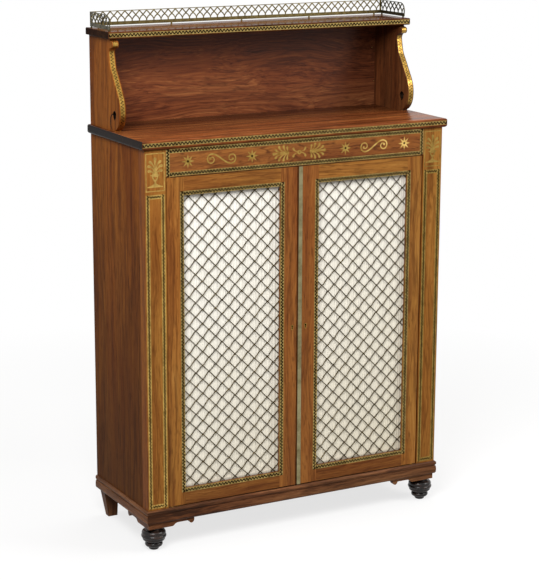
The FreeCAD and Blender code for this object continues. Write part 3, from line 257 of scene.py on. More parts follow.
def wood(name, grain, tones, seed, swirl=1.0, figure=1.0, fibre=1.0, close=1.0, red=0.6, veins=0.5,
         flecks=0.5, roughness=0.36, specular=0.08, painted_side_shade=None, painted_light=None):
    """Polished veneer. tones run from the darkest streak to the lightest ground.

    swirl bends the grain, close sets its streaks closer together, and red is the share of russet.
    painted_side_shade multiplies the colour of the faces that look to the left or right, which paints
    shade on them.
    fade is what faded takes: light and shade painted along an axis.
    """
    material, tree, surface = new_material(name, Specular_IOR_Level=specular)
    place = add(tree, "TexCoord").outputs["Object"]
    turned = add(tree, "Mapping", {"Vector": place, "Rotation": GRAIN_TURN[grain]}).outputs[0]
    moved = vectors(tree, "ADD", turned, [seed * step for step in SEED_STEP])
    drift = vectors(tree, "SUBTRACT", grain_noise(tree, moved, DRIFT, output="Color"), (NOISE_MIDDLE,) * 3)
    wander = vectors(tree, "MULTIPLY", drift, (0.0, GRAIN_WANDER * swirl, GRAIN_WANDER * swirl))
    flow = vectors(tree, "ADD", moved, wander)

    streaks = grain_noise(tree, flow, STREAKS, close)
    fine = grain_noise(tree, flow, FIBRES)
    value = maths(tree, "MULTIPLY_ADD", grain_noise(tree, flow, BROAD), FIGURE_SPREAD * figure,
                  MIDDLE_TONE - NOISE_MIDDLE * FIGURE_SPREAD * figure)
    for part, amount in ((streaks, STREAK_SPREAD), (fine, FIBRE_SPREAD)):
        centred = maths(tree, "SUBTRACT", part, NOISE_MIDDLE)
        value = maths(tree, "MULTIPLY_ADD", centred, amount * fibre, value)
    colour = ramp(tree, value, list(zip(TONE_STOPS, tones)))

    off_vein = maths(tree, "SUBTRACT", grain_noise(tree, flow, VEINS, close), NOISE_MIDDLE)
    vein = spread(tree, maths(tree, "ABSOLUTE", off_vein), 0.0, VEIN_HALF, veins, 0.0)
    fleck = spread(tree, grain_noise(tree, flow, PORES), *PORE_RANGE, 0.0, flecks)
    for share in (vein, fleck):
        colour = blend(tree, share, colour, linear(*tones[0]))
    share = spread(tree, grain_noise(tree, flow, PATCHES), *RUSSET_RANGE, 0.0, red)
    colour = blend(tree, share, colour, vectors(tree, "MULTIPLY", colour, RUSSET_TINT))
    # Painted shade on the faces that look to the left or right.
    if painted_side_shade:
        normal = add(tree, "TexCoord").outputs["Normal"]
        sideways = maths(tree, "ABSOLUTE", add(tree, "SeparateXYZ", {0: normal}).outputs["X"])
        at_side = maths(tree, "GREATER_THAN", sideways, SIDE_FACING)
        colour = blend(tree, at_side, colour, vectors(tree, "MULTIPLY", colour, painted_side_shade))
    # Light and shade painted along an axis.
    if painted_light:
        colour = paint_gradient(tree, place, colour, *painted_light)
    tree.links.new(colour, surface.inputs["Base Color"])
    rough = spread(tree, streaks, *NOISE_SPAN, *(roughness + more for more in WOOD_GLOSS))
    tree.links.new(rough, surface.inputs["Roughness"])
    bump(tree, surface, fine, *WOOD_BUMP)
    return material


# ---- brass, silk and black polish ----
PATINA = (4.0, 0.65)                    # detail and roughness of the noise that sets the tarnish
PATINA_STOPS = (0.5, 0.8)               # from bright to dull, at a dull_share of nothing
DULL_SHIFT = 0.25                       # how far a dull_share of 1 moves them down
BRASS_GLOSS = (-0.08, 0.14)             # least and most that the tarnish adds to the roughness
BRASS_GRIT = 900.0                      # waves per metre of the fine bumps
BRASS_BUMP = (0.08, 0.2 * MM)

SILK_ROUGHNESS = 0.62
SILK_SHEEN = (0.25, 0.4)                # weight and roughness
SILK_HEIGHTS = (0.14, 0.79)             # painted light and shade: the silk is darkest and warmest at the lowest of these
SILK_SIDES = (-0.28, 0.28)              # and painted light makes it a little lighter towards the left
SILK_LEFT_LIGHT = 0.3                         # what the side counts for,
SILK_UP_LIGHT = 0.7                           # and the height,
SILK_BLOTCHED = 0.3                     # and the blotches
SILK_BLOTCH = ((9.0, 9.0, 5.0), 3.0)
SILK_TONES = ((0.0, (242, 233, 210)), (0.5, (248, 242, 227)), (1.0, (252, 249, 241)))
SILK_RIB = ((1500.0, 1500.0, 30.0), 2.0, 0.6)
SILK_WEFT = ((60.0, 60.0, 1700.0), 2.0, 0.6)
WEFT_SHARE = 0.5
WEAVE_SPAN = (0.5, 1.0)                 # height of the weave from its hollows to its threads
SILK_SHADES = (0.9, 1.04)               # and how light the silk is at each, painted shade in the weave's hollows
SILK_BUMP = (0.25, 0.3 * MM)

BLACK_SPECULAR = 0.3
BLACK_WEAR = ((60.0, 60.0, 160.0), 4.0, 0.6)
BLACK_TONES = ((0.48, (20, 16, 14)), (0.75, (58, 38, 28)))
BLACK_GLOSS = (0.16, 0.36)
BLACK_BUMP = (0.1, 0.4 * MM)


def metal(name, bright, dull, roughness=0.36, patina_scale=90.0, dull_share=0.5, painted_light=None):
    """Aged brass: bright metal under dull tarnish in patches. fade is what faded takes: painted light and
    shade.
    """
    material, tree, surface = new_material(name, Metallic=1.0)
    place = add(tree, "TexCoord").outputs["Object"]
    cloud = noise(tree, place, (patina_scale,) * 3, *PATINA).outputs["Fac"]
    stops = [stop - DULL_SHIFT * dull_share for stop in PATINA_STOPS]
    colour = ramp(tree, cloud, list(zip(stops, (bright, dull))))
    # Light and shade painted along an axis.
    if painted_light:
        colour = paint_gradient(tree, place, colour, *painted_light)
    tree.links.new(colour, surface.inputs["Base Color"])
    rough = spread(tree, cloud, *NOISE_SPAN, *(roughness + more for more in BRASS_GLOSS))
    tree.links.new(rough, surface.inputs["Roughness"])
    bump(tree, surface, noise(tree, place, (BRASS_GRIT,) * 3).outputs["Fac"], *BRASS_BUMP)
    return material


def silk_material():
    """Cream silk: a fine vertical rib, a soft sheen, and painted light and shade: darker and warmer low,
    lighter to the left.
    """
    weight, sheen_roughness = SILK_SHEEN
    material, tree, surface = new_material("silk_cream", Roughness=SILK_ROUGHNESS, Sheen_Weight=weight,
                                           Sheen_Roughness=sheen_roughness)
    place = add(tree, "TexCoord").outputs["Object"]
    parts = add(tree, "SeparateXYZ", {0: place})
    # Painted light and shade: lighter towards the top and the left, darker and warmer towards the floor.
    up = spread(tree, parts.outputs["Z"], *SILK_HEIGHTS)
    left = spread(tree, parts.outputs["X"], *SILK_SIDES, SILK_LEFT_LIGHT, 0.0)
    blotch = maths(tree, "SUBTRACT", noise(tree, place, *SILK_BLOTCH).outputs["Fac"], NOISE_MIDDLE)
    lit_and_blotched = maths(tree, "MULTIPLY_ADD", up, SILK_UP_LIGHT, left)
    lit_and_blotched = maths(tree, "MULTIPLY_ADD", blotch, SILK_BLOTCHED, lit_and_blotched)
    ground = ramp(tree, lit_and_blotched, SILK_TONES)
    rib = noise(tree, place, *SILK_RIB).outputs["Fac"]
    weft = noise(tree, place, *SILK_WEFT).outputs["Fac"]
    weave = maths(tree, "MULTIPLY_ADD", weft, WEFT_SHARE, rib)
    # Painted shade in the hollows of the weave.
    shade = spread(tree, weave, *WEAVE_SPAN, *SILK_SHADES)
    colour = add(tree, "VectorMath", {0: ground, "Scale": shade}, operation="SCALE").outputs[0]
    tree.links.new(colour, surface.inputs["Base Color"])
    bump(tree, surface, weave, *SILK_BUMP)
    return material


def ebonised():
    """Near-black polish, worn to brown in places."""
    material, tree, surface = new_material("ebonised", Specular_IOR_Level=BLACK_SPECULAR)
    place = add(tree, "TexCoord").outputs["Object"]
    worn = noise(tree, place, *BLACK_WEAR).outputs["Fac"]
    tree.links.new(ramp(tree, worn, BLACK_TONES), surface.inputs["Base Color"])
    tree.links.new(spread(tree, worn, 0.0, 1.0, *BLACK_GLOSS), surface.inputs["Roughness"])
    bump(tree, surface, worn, *BLACK_BUMP)
    return material


# Tones of wood, from the darkest streak to the lightest ground.
GOLDEN = ((78, 42, 18), (134, 85, 38), (162, 111, 50), (188, 138, 72))
SIDES = ((72, 36, 13), (120, 66, 24), (144, 84, 33), (168, 104, 44))
DEEP = ((58, 28, 16), (97, 50, 28), (119, 66, 37), (148, 92, 53))
SHELF = ((44, 24, 14), (76, 42, 24), (96, 56, 30), (120, 74, 42))
RUDDY = ((70, 34, 16), (120, 70, 34), (144, 90, 42), (168, 112, 56))
TOPPED = ((66, 34, 16), (104, 56, 28), (128, 72, 36), (152, 92, 48))
DARKER = ((56, 34, 20), (98, 62, 38), (122, 80, 50), (146, 102, 66))
PLAIN = ((70, 44, 28), (98, 66, 44), (122, 84, 56), (142, 102, 70))
BLACKENED = ((10, 7, 5), (16, 11, 7), (24, 17, 11), (36, 25, 16))

# Painted light and shade along an axis: the axis, the start and end along it, and the tint.
# Painted shade: the door rails darken towards the floor, where less light reaches them.
FOOT_PAINTED_SHADE = ("Z", 0.85, 0.1, (0.7, 0.62, 0.7))
# Painted shade: the side panels and the left upright darken towards the floor.
SIDE_PAINTED_SHADE = ("Z", 0.95, 0.15, (0.46, 0.5, 0.62))
# Painted shadow: the top board darkens towards the back, where the shelf above shades it.
STAGE_PAINTED_SHADOW = ("Y", -0.06, 0.1, (0.5, 0.5, 0.56))
# Painted shadow: the upper back darkens towards its right-hand end, where the right upright shades it.
BACK_PAINTED_SHADOW = ("X", -0.1, 0.33, (0.85, 0.9, 1.0))
# Painted highlight: the frieze's brass keeps its bright tone only at its right-hand end, and is darkened
# elsewhere.
FRIEZE_PAINTED_HIGHLIGHT = ("X", 0.25, 0.15, (0.5, 0.47, 0.38))
# Painted shade: the right-hand post's brass is darker than the left's.
POST_PAINTED_SHADE = ("X", -0.2, 0.2, (0.66, 0.66, 0.6))

# Painted shade on the posts' faces that look sideways.
wood_post = wood("rosewood_posts", "z", GOLDEN, 1.0, figure=0.45, fibre=0.5, red=0.5, specular=0.03,
                 painted_side_shade=(0.8, 0.6, 0.45))
wood_stile = wood("rosewood_stiles", "z", GOLDEN, 2.2, figure=0.6, fibre=0.65, red=0.7)
wood_meeting = wood("rosewood_meeting", "z", RUDDY, 2.7, figure=0.5, fibre=0.6, red=0.6)
# Painted shade: the lower rails are darker towards the floor.
wood_rail = wood("rosewood_rails", "x", GOLDEN, 3.1, figure=0.6, fibre=0.65, red=0.5, painted_light=FOOT_PAINTED_SHADE)
wood_frieze = wood("rosewood_frieze", "x", RUDDY, 4.7, swirl=2.0, figure=0.8, fibre=0.5, close=0.8,
                   red=0.5, flecks=0.8, specular=0.12)
wood_plinth = wood("rosewood_base", "x", DARKER, 5.3)
wood_plinth_side = wood("rosewood_base_sides", "y", DARKER, 6.1, specular=0.04)
# The sides' tones are a little darker than the front's, partly their own tone and partly painted shade,
# and they darken further towards the floor as painted shade.
wood_side = wood("rosewood_sides", "z", SIDES, 7.9, figure=0.5, fibre=0.8, specular=0.01,
                 painted_light=SIDE_PAINTED_SHADE)
# Painted shade: the right upright gets the darker shelf tones, while the left one takes the sides' wood,
# because the face of it that is seen lies in shade.
shaded_upright_wood = wood("rosewood_shaded_upright", "z", SHELF, 7.1, figure=0.5, fibre=0.8)
# Painted shade on the board's end faces, and a painted shadow of the shelf over its back part.
wood_top = wood("rosewood_boards", "x", TOPPED, 8.4, close=1.3, roughness=0.22, specular=0.03,
                painted_side_shade=(0.05, 0.06, 0.08), painted_light=STAGE_PAINTED_SHADOW)
# Painted shade on the shelf's end faces.
wood_shelf = wood("rosewood_shelf", "x", SHELF, 13.6, close=1.3, roughness=0.09, specular=0.004,
                  painted_side_shade=(0.25, 0.3, 0.4))
# Painted shadow of the right upright towards the back's right-hand end.
wood_back = wood("rosewood_back", "x", DEEP, 9.6, swirl=1.8, figure=0.8, fibre=0.75, close=2.6, red=0.4,
                 roughness=0.3, specular=0.15, painted_light=BACK_PAINTED_SHADOW)
wood_inside = wood("inside_wood", "x", PLAIN, 10.2, roughness=0.5)
wood_leg = wood("leg_wood", "z", PLAIN, 11.5, roughness=0.42, specular=0.04)
brass_band = metal("brass_band", (172, 148, 88), (120, 98, 54))
# Painted highlight: the bright tone is the glint at the frieze's right-hand end, and the rest is darkened
# from it.
brass_frieze = metal("brass_frieze", (240, 206, 122), (184, 146, 76), 0.34, painted_light=FRIEZE_PAINTED_HIGHLIGHT)
# Painted shade: darker on the right-hand post.
brass_posts = metal("brass_posts", (196, 162, 88), (140, 110, 56), painted_light=POST_PAINTED_SHADE)
brass_uprights = metal("brass_uprights", (172, 136, 66), (120, 92, 42))
brass_strip = metal("brass_strip", (146, 138, 104), (108, 98, 68), patina_scale=40.0)
brass_gallery = metal("brass_gallery", (142, 128, 84), (92, 80, 48), dull_share=0.8)
# Painted shade: the gallery's returns are its brass made darker, as they lie in shade.
brass_return_shaded = metal("brass_return_shaded", (88, 82, 56), (48, 44, 28), dull_share=0.8)
brass_fittings = metal("brass_fittings", (190, 156, 92), (128, 100, 58), 0.4)
# Painted shade: the grille wires are brass set dark, for the shade and dark reflections that they show.
wire_brass_shaded = metal("wire_brass_shaded", (72, 58, 24), (44, 34, 12), 0.42)
band_ground = wood("band_ground", "x", BLACKENED, 12.9, specular=0.01)
silk = silk_material()
feet_black = ebonised()

NODE_MATERIALS = (
    (wood_post, ("post_left", "post_right")),
    (wood_stile, ("door_left_hinge_stile", "door_right_hinge_stile")),
    (wood_meeting, ("door_left_meeting_stile", "door_right_meeting_stile")),
    (wood_rail, ("door_left_bottom_rail", "door_left_top_rail", "door_right_bottom_rail",
                 "door_right_top_rail")),
    (wood_frieze, ("frieze_rail",)),
    (wood_plinth, ("plinth_front", "bracket_left", "bracket_right")),
    (wood_plinth_side, ("plinth_left", "plinth_right")),
    (wood_side, ("side_panel_left", "side_panel_right", "upright_left")),
    (shaded_upright_wood, ("upright_right",)),
    (wood_top, ("top_board",)),
    (wood_shelf, ("top_shelf",)),
    (wood_back, ("upper_back",)),
    (wood_inside, ("carcase_bottom", "carcase_back", "inner_shelf", "door_left_beads",
                   "door_right_beads")),
    (wood_leg, ("leg_left", "leg_right")),
    (feet_black, ("foot_left", "foot_right")),
    (brass_frieze, ("frieze_motifs",)),
    (brass_posts, ("post_inlay_left", "post_inlay_right")),
    (brass_uprights, ("upright_inlay_left", "upright_inlay_right", "door_left_escutcheon",
                      "door_right_escutcheon")),
    (brass_strip, ("meeting_strip",)),
    (brass_gallery, ("gallery_back",)),
    (brass_return_shaded, ("gallery_left", "gallery_right")),
    (brass_fittings, ("pivot_seats", "door_pivots_left", "door_pivots_right", "door_left_plates",
                      "flush_bolt_top", "flush_bolt_bottom", "lock_bolt", "lock_case")),
)
for material, names in NODE_MATERIALS:
    for name in names:
        nodes[name].data.materials.clear()
        nodes[name].data.materials.append(material)


# ---- new pieces ----
def new_piece(name, points, faces, materials, body, which=None, smooth=False):
    """A mesh that rides on a body. which gives each face's material."""
    mesh = bpy.data.meshes.new(name)
    mesh.from_pydata(points, [], faces)
    for material in materials:
        mesh.materials.append(material)
    if which:
        mesh.polygons.foreach_set("material_index", which)
    mesh.polygons.foreach_set("use_smooth", [smooth] * len(faces))
    mesh.update()
    piece = bpy.data.objects.new(name, mesh)
    bpy.context.scene.collection.objects.link(piece)
    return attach(piece, body)


class Prisms:
    """Collects flat closed prisms. place(u, v, depth) turns a band's own measures into a point."""

    def __init__(self, materials):
        self.materials = materials
        self.points = []
        self.faces = []
        self.which = []

    def add(self, place, outline, depth0, depth1, material):
        first, count = len(self.points), len(outline)
        for depth in (depth0, depth1):
            self.points += [place(u, v, depth) for u, v in outline]
        rings = range(count)
        self.faces.append([first + i for i in rings])
        self.faces.append([first + count + i for i in reversed(rings)])
        for i in rings:
            j = (i + 1) % count
            self.faces.append([first + j, first + i, first + count + i, first + count + j])
        self.which += [material] * (count + 2)

    def piece(self, name, body):
        return new_piece(name, self.points, self.faces, self.materials, body, self.which)


BRASS, GROUND = 0, 1        # the two materials of a key band


def key_run(prisms, place, length, width, period=KEY_PERIOD):
    """One straight run of key band: two brass lines, and brass points that leave a dark zigzag."""
    low, high = BAND_FILLET, width - BAND_FILLET
    for v0, v1, depth, material in ((0, low, 0, BRASS), (high, width, 0, BRASS),
                                    (low, high, GROUND_SUNK, GROUND)):
        prisms.add(place, ((0, v0), (length, v0), (length, v1), (0, v1)), depth, BAND_T, material)
    count = max(1, round(length / period))
    period = length / count
    tip = (high - low) * (1 - KEY_LINE / period)
    half = (period - KEY_LINE) / 2
    for i in range(count):
        middle = (i + 0.5) * period
        prisms.add(place, ((middle - half, low), (middle + half, low), (middle, low + tip)),
                   0, GROUND_SUNK, BRASS)
        if i:
            middle = i * period
            prisms.add(place, ((middle + half, high), (middle - half, high), (middle, high - tip)),
                       0, GROUND_SUNK, BRASS)


def front_place(x, z, y, along, across):
    """Places a band in the front plane: it starts at (x, z) and its depth goes back from y."""
    def place(u, v, depth):
        return (x + u * along[0] + v * across[0], y + depth, z + u * along[1] + v * across[1])
    return place


def frame_runs(x0, x1, z0, z1, y):
    """Place and length of a frame's runs: upright ones from end to end, level ones between them."""
    for x in (x0, x1 - BAND_W):
        yield front_place(x, z1, y, (0, -1), (1, 0)), z1 - z0
    for z in (z0, z1 - BAND_W):
        yield front_place(x0 + BAND_W, z + BAND_W, y, (1, 0), (0, -1)), x1 - x0 - 2 * BAND_W


def frame_band(node, body):
    """Key band in place of a node that is one rectangular frame."""
    low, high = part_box(node)
    prisms = Prisms((brass_band, band_ground))
    for place, length in frame_runs(low.x, high.x, low.z, high.z, low.y):
        key_run(prisms, place, length, BAND_W)
    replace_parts(prisms.piece(node + "_key", body), node)


def edge_band(node):
    """Key band along the front edge of a board."""
    low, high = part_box(node)
    prisms = Prisms((brass_band, band_ground))
    key_run(prisms, front_place(low.x, high.z, low.y, (1, 0), (0, -1)), high.x - low.x, high.z - low.z,
            EDGE_PERIOD)
    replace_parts(prisms.piece(node + "_key", "carcase"), node)


class Ribbons:
    """Collects the dark zigzag line of key bands whose brass stays, just proud of the brass."""

    def __init__(self):
        self.points = []
        self.faces = []

    def run(self, place, length, width, period=KEY_PERIOD, line=RIBBON_W):
        halves = 2 * max(1, round(length / period))
        step = length / halves
        low, high = BAND_FILLET, width - BAND_FILLET
        first = len(self.points)
        for i in range(halves + 1):
            v = (low, high - line)[i % 2]
            for depth in LINE_DEPTHS:
                self.points += [place(i * step, v, depth), place(i * step, v + line, depth)]
        for i in range(halves):
            a = first + 4 * i
            for corners in ((0, 4, 5, 1), (2, 3, 7, 6), (0, 2, 6, 4), (1, 5, 7, 3)):
                self.faces.append([a + corner for corner in corners])
        last = first + 4 * halves
        self.faces.append([first, first + 1, first + 3, first + 2])
        self.faces.append([last, last + 2, last + 3, last + 1])

    def piece(self, name, body):
        return new_piece(name, self.points, self.faces, (band_ground,), body)


def post_key(side):
    """The zigzag of the long panel on a corner post."""
    low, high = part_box("post_inlay_" + side)
    ribbons = Ribbons()
    for place, length in frame_runs(low.x, high.x, low.z, high.z - TABLET_TO_PANEL, low.y):
        ribbons.run(place, length, BAND_W)
    ribbons.piece("post_" + side + "_key", "carcase")


def strip_line(node, z0, z1):
    """Points down the front of an upright's brass strip, with their outward directions."""
    tree = BVHTree.FromObject(nodes[node], bpy.context.evaluated_depsgraph_get())
    low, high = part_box(node)
    x = (low.x + high.x) / 2
    line = []
    count = round((z1 - z0) / STRIP_STEP)
    for i in range(count + 1):
        z = z1 - (z1 - z0) * i / count
        place, normal, _, _ = tree.ray_cast(Vector((x, low.y - STRIP_REACH, z)), Vector((0, 1, 0)))
        if place is not None:
            line.append((place, normal))
    return line


def upright_key(side):
    """The zigzag on the front of an upright: down its S-curve, and on the roll above."""
    node = "upright_inlay_" + side
    low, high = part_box(node)
    ribbons = Ribbons()
    for z0, z1 in ((low.z + PROUD, high.z - ROLL_STRIP_H), (high.z - ROLL_STRIP_H, high.z - PROUD)):
        line = strip_line(node, z0, z1)
        line = [spot for spot in line if abs(spot[1].z) < STRIP_FLAT]
        lengths = [0.0]
        for (a, _), (b, _) in zip(line, line[1:]):
            lengths.append(lengths[-1] + (b - a).length)

        def place(u, v, depth):
            k = min(max(bisect.bisect_right(lengths, u) - 1, 0), len(line) - 2)
            share = (u - lengths[k]) / (lengths[k + 1] - lengths[k])
            spot = line[k][0].lerp(line[k + 1][0], share)
            out = line[k][1].lerp(line[k + 1][1], share).normalized()
            return low.x + v, spot.y - out.y * depth, spot.z - out.z * depth
        ribbons.run(place, lengths[-1], high.x - low.x, STRIP_PERIOD, STRIP_LINE)
    ribbons.piece("upright_" + side + "_key", "carcase")


def dots(name, centres, radius, y0, y1, material):
    """Small round plugs that face forward, from y0 back to y1."""
    prisms = Prisms((material,))
    turns = [2 * math.pi * i / DOT_SIDES for i in range(DOT_SIDES)]
    ring = [(radius * math.cos(turn), radius * math.sin(turn)) for turn in turns]
    for x, z in centres:
        prisms.add(front_place(x, z, y0, (1, 0), (0, 1)), ring, 0, y1 - y0, 0)
    return prisms.piece(name, "carcase")


def star_eyes():
    """A dark plug in the middle of each star of the frieze."""
    low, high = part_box("frieze_motifs")
    middle = (low.z + high.z) / 2
    end = high.x - STAR_R
    centres = [(way * x, middle) for x in (STAR_X, end) for way in (-1, 1)]
    dots("frieze_star_eyes", centres, STAR_EYE_R, low.y, high.y, band_ground)


def back_pins():
    """Two small brass pins in the upper back, near its right-hand end."""
    low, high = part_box("upper_back")
    piece = dots("back_pins", [(high.x - x, low.z + z) for x, z in BACK_PINS], PIN_R, low.y - PIN_PROUD,
                 low.y + PIN_PROUD, brass_fittings)


def circle_through(a, b, c):
    """Centre and radius of the circle through three flat points."""
    turn = 2 * (a.x * (b.y - c.y) + b.x * (c.y - a.y) + c.x * (a.y - b.y))
    x = (a.length_squared * (b.y - c.y) + b.length_squared * (c.y - a.y)
         + c.length_squared * (a.y - b.y)) / turn
    y = (a.length_squared * (c.x - b.x) + b.length_squared * (a.x - c.x)
         + c.length_squared * (b.x - a.x)) / turn
    centre = Vector((x, y))
    return centre, (a - centre).length


def arc(start, middle, end, bow=0.0):
    """Points on the arc through three flat points. bow swells it, most of all in the middle."""
    centre, radius = circle_through(start, middle, end)
    first, halfway, last = (math.atan2(*reversed(point - centre)) for point in (start, middle, end))
    sweep = (last - first) % (2 * math.pi)
    if (halfway - first) % (2 * math.pi) > sweep:
        sweep -= 2 * math.pi
    points = []
    for i in range(ARC_STEPS + 1):
        share = i / ARC_STEPS
        r = radius + bow * math.sin(math.pi * (CURL_TIP + (1 - 2 * CURL_TIP) * share))
        turn = first + sweep * share
        points.append((centre.x + r * math.cos(turn), centre.y + r * math.sin(turn)))
    return points


def upright_scrolls():
    """On each upright, the dark line of the scroll's curled foot, and painted shade round the walls of its
    pierced eye.
    """
    prisms = Prisms((band_ground,))
    for side, out in (("left", -1), ("right", 1)):
        low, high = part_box("upright_" + side)
        face = low.x if out < 0 else high.x

        def place(y, z, depth):
            return face - out * depth, y, z

        def spot(d, z):
            return Vector((low.y + d * MM, low.z + z * MM))
        inner, outer = (arc(*(spot(*point) for point in CURL), bow=way * CURL_W / 2) for way in (-1, 1))
        for a, b, c, d in zip(inner, outer, outer[1:], inner[1:]):
            prisms.add(place, (a, b, c, d), *LINE_DEPTHS, 0)
        # Painted shade: a dark band round the walls of the pierced eye, so that it reads dark inside.
        rim = []
        for k in (0, 2, 4):
            rim += arc(*(spot(*point) for point in EYE[k:k + 3]))[:-1]
        middle = spot(*EYE_CENTRE)
        shade_inner = [tuple(middle.lerp(Vector(point), EYE_SHADE_INNER)) for point in rim]
        for i in range(len(rim)):
            j = (i + 1) % len(rim)
            prisms.add(place, (rim[i], rim[j], shade_inner[j], shade_inner[i]),
                       PROUD, high.x - low.x - PROUD, 0)
    prisms.piece("upright_scrolls", "carcase")


frame_band("frieze_border", "carcase")
frame_band("door_left_inlay", "door_left")
frame_band("door_right_inlay", "door_right")
edge_band("top_board_inlay")
edge_band("top_shelf_inlay")
for hand in ("left", "right"):
    post_key(hand)
    upright_key(hand)
star_eyes()
back_pins()
upright_scrolls()


# ---- wire grilles and silk ----
def opening_of(door):
    """The door's opening: lowest and highest x and z, from the silk behind it."""
    low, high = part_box(door + "_silk")
    return low.x + SILK_EDGE, high.x - SILK_EDGE, low.z + SILK_EDGE, high.z - SILK_EDGE


def inside_span(begin, step, low, high):
    """Where the line begin + t * step lies between low and high, as a pair of t."""
    ends = ((low - begin) / step, (high - begin) / step)
    return min(ends), max(ends)


def woven_grille(door, start):
    """Wires that pass over and under each other. The rising ones step aside at each crossing."""
    low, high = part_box(door + "_grille")
    x0, x1, z0, z1 = opening_of(door)
    x0, x1, z0, z1 = x0 - WIRE_END, x1 + WIRE_END, z0 - WIRE_END, z1 + WIRE_END
    middle_y = (low.y + high.y) / 2
    falling = Vector((WIRE_PITCH_X / 2, -WIRE_PITCH_Z / 2))
    rising = Vector((WIRE_PITCH_X / 2, WIRE_PITCH_Z / 2))
    start = Vector(start)
    curve = bpy.data.curves.new(door + "_wires", "CURVE")
    curve.dimensions = "3D"
    curve.bevel_depth = WIRE_R
    curve.bevel_resolution = 1
    curve.use_fill_caps = True
    curve.materials.append(wire_brass_shaded)
    count = int((x1 - x0) / WIRE_PITCH_X + (z1 - z0) / WIRE_PITCH_Z) * 2 + 4      # more than enough
    for along, across, side, jog in ((falling, rising, 1, FALLING_JOG * WIRE_JOG),
                                     (rising, falling, -1, WIRE_JOG)):
        aside = across.normalized() * jog
        for line in range(-count, count):
            begin = start + across * line
            in_x = inside_span(begin.x, along.x, x0, x1)
            in_z = inside_span(begin.y, along.y, z0, z1)
            t0, t1 = max(in_x[0], in_z[0]), min(in_x[1], in_z[1])
            if t1 - t0 < WIRE_SHORTEST:
                continue
            steps = max(2, round((t1 - t0) * WIRE_SAMPLES))
            spline = curve.splines.new("POLY")
            spline.points.add(steps)
            for i in range(steps + 1):
                t = t0 + (t1 - t0) * i / steps
                sway = (math.sin(2 * math.pi * t) + JOG_KINK * math.sin(4 * math.pi * t)) / JOG_FULL
                place = begin + along * t + aside * sway
                depth = middle_y + side * WEAVE * math.cos(math.pi * (t + line))
                spline.points[i].co = (place.x, depth, place.y, 1.0)
    piece = bpy.data.objects.new(door + "_wires", curve)
    bpy.context.scene.collection.objects.link(piece)
    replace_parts(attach(piece, door), door + "_grille")


def fold_lines(width):
    """Where each fold starts at the top, how far it leans, and how deep it is."""
    lines, x = [], -FOLD_PITCH[1]
    while x < width + FOLD_PITCH[1]:
        lines.append((x, random.uniform(-1, 1) * FOLD_DRIFT, random.uniform(*FOLD_SHARES)))
        x += random.uniform(*FOLD_PITCH)
    return lines


def gathered_silk(door):
    """Silk in fine upright folds, held flat by the beads all round."""
    low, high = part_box(door + "_silk")
    width, height = high.x - low.x, high.z - low.z
    lines = fold_lines(width)
    columns = round(width / SILK_STEP)
    front = low.y + SILK_GAP
    points = []
    for row in range(SILK_ROWS + 1):
        down = row / SILK_ROWS
        here = [(x + drift * down, depth) for x, drift, depth in lines]
        k = 0
        for column in range(columns + 1):
            x = width * column / columns
            while here[k + 1][0] <= x:
                k += 1
            share = (x - here[k][0]) / (here[k + 1][0] - here[k][0])
            fold = (0.5 - 0.5 * math.cos(2 * math.pi * share)) * here[k][1]
            from_edge = min(x, width - x, height * down, height * (1 - down))
            free = min(1.0, max(0.0, (from_edge - SILK_EDGE) / FOLD_FREE))
            depth = FOLD_HELD + (FOLD_DEPTH - FOLD_HELD) * free
            points.append((low.x + x, front + depth * fold, high.z - height * down))
    length = sum(math.dist(a, b) for a, b in zip(points[:columns], points[1:columns + 1]))
    faces = []
    for row in range(SILK_ROWS):
        for column in range(columns):
            a = row * (columns + 1) + column
            faces.append((a, a + columns + 1, a + columns + 2, a + 1))
    piece = new_piece(door + "_silk_folds", points, faces, (silk,), door, smooth=True)
    solid = piece.modifiers.new("thickness", "SOLIDIFY")
    solid.thickness = SILK_T
    solid.offset = -1.0
    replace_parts(piece, door + "_silk")


left_edge, _, _, left_top = opening_of("door_left")
_, right_edge, right_foot, _ = opening_of("door_right")
woven_grille("door_left", (left_edge + LEFT_WIRE_START[0], left_top + LEFT_WIRE_START[1]))
woven_grille("door_right", (right_edge + RIGHT_WIRE_START[0], right_foot + RIGHT_WIRE_START[1]))
gathered_silk("door_left")
gathered_silk("door_right")


# ---- camera ----
def place_camera():
    """Stands the camera at the photograph's place, so that it looks the same way."""
    yaw, pitch, roll = (math.radians(a) for a in (CAMERA_YAW, CAMERA_PITCH, CAMERA_ROLL))
    ahead = Vector((math.sin(yaw) * math.cos(pitch), math.cos(yaw) * math.cos(pitch), -math.sin(pitch)))
    level = Vector((math.cos(yaw), -math.sin(yaw), 0.0))
    over = level.cross(ahead)
    right = level * math.cos(roll) + over * math.sin(roll)
    up = over * math.cos(roll) - level * math.sin(roll)
    data = bpy.data.cameras.new("camera")
    data.lens = CAMERA_LENS
    data.clip_end = CAMERA_REACH
    camera = bpy.data.objects.new("camera", data)
    bpy.context.scene.collection.objects.link(camera)
    turn = Matrix((right, up, -ahead)).transposed().to_4x4()
    camera.matrix_world = Matrix.Translation(CAMERA_PLACE) @ turn
    bpy.context.scene.camera = camera


# ---- light, floor and background ----
def seen_directly(tree):
    """1 for rays from the camera and for reflections, 0 for the rays that light the object."""
    path = add(tree, "LightPath")
    seen = maths(tree, "MAXIMUM", path.outputs["Is Camera Ray"], path.outputs["Is Glossy Ray"])
    return maths(tree, "MAXIMUM", seen, path.outputs["Is Transmission Ray"])


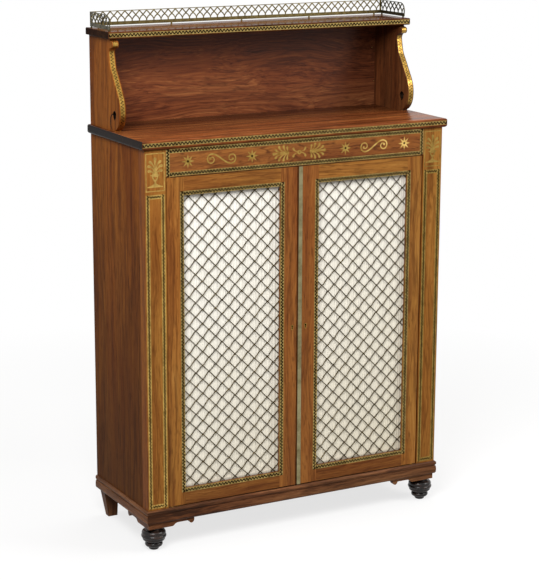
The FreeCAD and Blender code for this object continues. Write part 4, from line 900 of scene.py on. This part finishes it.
def make_world():
    """Soft light all round, which is plain white to the camera."""
    world = bpy.data.worlds.new("studio")
    bpy.context.scene.world = world
    world.use_nodes = True
    tree = world.node_tree
    tree.nodes.clear()
    plain = add(tree, "Background", {"Color": WHITE + (1,), "Strength": 1.0})
    light = add(tree, "Background", {"Color": WARM_WHITE + (1,), "Strength": WORLD_LIGHT})
    mixed = add(tree, "MixShader", {0: seen_directly(tree), 1: light.outputs[0], 2: plain.outputs[0]})
    add(tree, "OutputWorld", {"Surface": mixed.outputs[0]})


def make_floor():
    """A pale floor that keeps the object's shadow and goes over into plain white further out."""
    material = bpy.data.materials.new("floor")
    material.use_nodes = True
    tree = material.node_tree
    tree.nodes.clear()
    lit = add(tree, "BsdfDiffuse", {"Color": (FLOOR_BOUNCE,) * 3 + (1,)})
    pale = add(tree, "BsdfDiffuse", {"Color": (FLOOR_PALE,) * 3 + (1,)})
    glow = add(tree, "Emission", {"Color": WHITE + (1,), "Strength": 1.0})
    place = add(tree, "TexCoord").outputs["Object"]
    away = add(tree, "VectorMath", {0: place}, operation="LENGTH").outputs["Value"]
    share = spread(tree, away, *SHADOW_REACH, FLOOR_GLOW, 1.0)
    seen = add(tree, "MixShader", {0: share, 1: pale.outputs[0], 2: glow.outputs[0]})
    mixed = add(tree, "MixShader", {0: seen_directly(tree), 1: lit.outputs[0], 2: seen.outputs[0]})
    add(tree, "OutputMaterial", {"Surface": mixed.outputs[0]})
    mesh = bpy.data.meshes.new("floor")
    corners = ((-1, -1), (1, -1), (1, 1), (-1, 1))
    mesh.from_pydata([(x * FLOOR_HALF, y * FLOOR_HALF, 0) for x, y in corners], [], [(0, 1, 2, 3)])
    mesh.materials.append(material)
    floor = bpy.data.objects.new("floor", mesh)
    floor.location.z = -FLOOR_DROP
    bpy.context.scene.collection.objects.link(floor)


def softbox(name, place, size, power, colour):
    data = bpy.data.lights.new(name, "AREA")
    data.shape = "RECTANGLE"
    data.size, data.size_y = size
    data.energy = power
    data.color = colour
    lamp = bpy.data.objects.new(name, data)
    lamp.location = place
    lamp.rotation_mode = "QUATERNION"
    lamp.rotation_quaternion = (Vector(place) - Vector(LIGHT_TARGET)).to_track_quat("Z", "Y")
    bpy.context.scene.collection.objects.link(lamp)


place_camera()
make_world()
make_floor()
for lamp_settings in LIGHTS:
    softbox(*lamp_settings)
bpy.context.scene.view_settings.view_transform = "Standard"
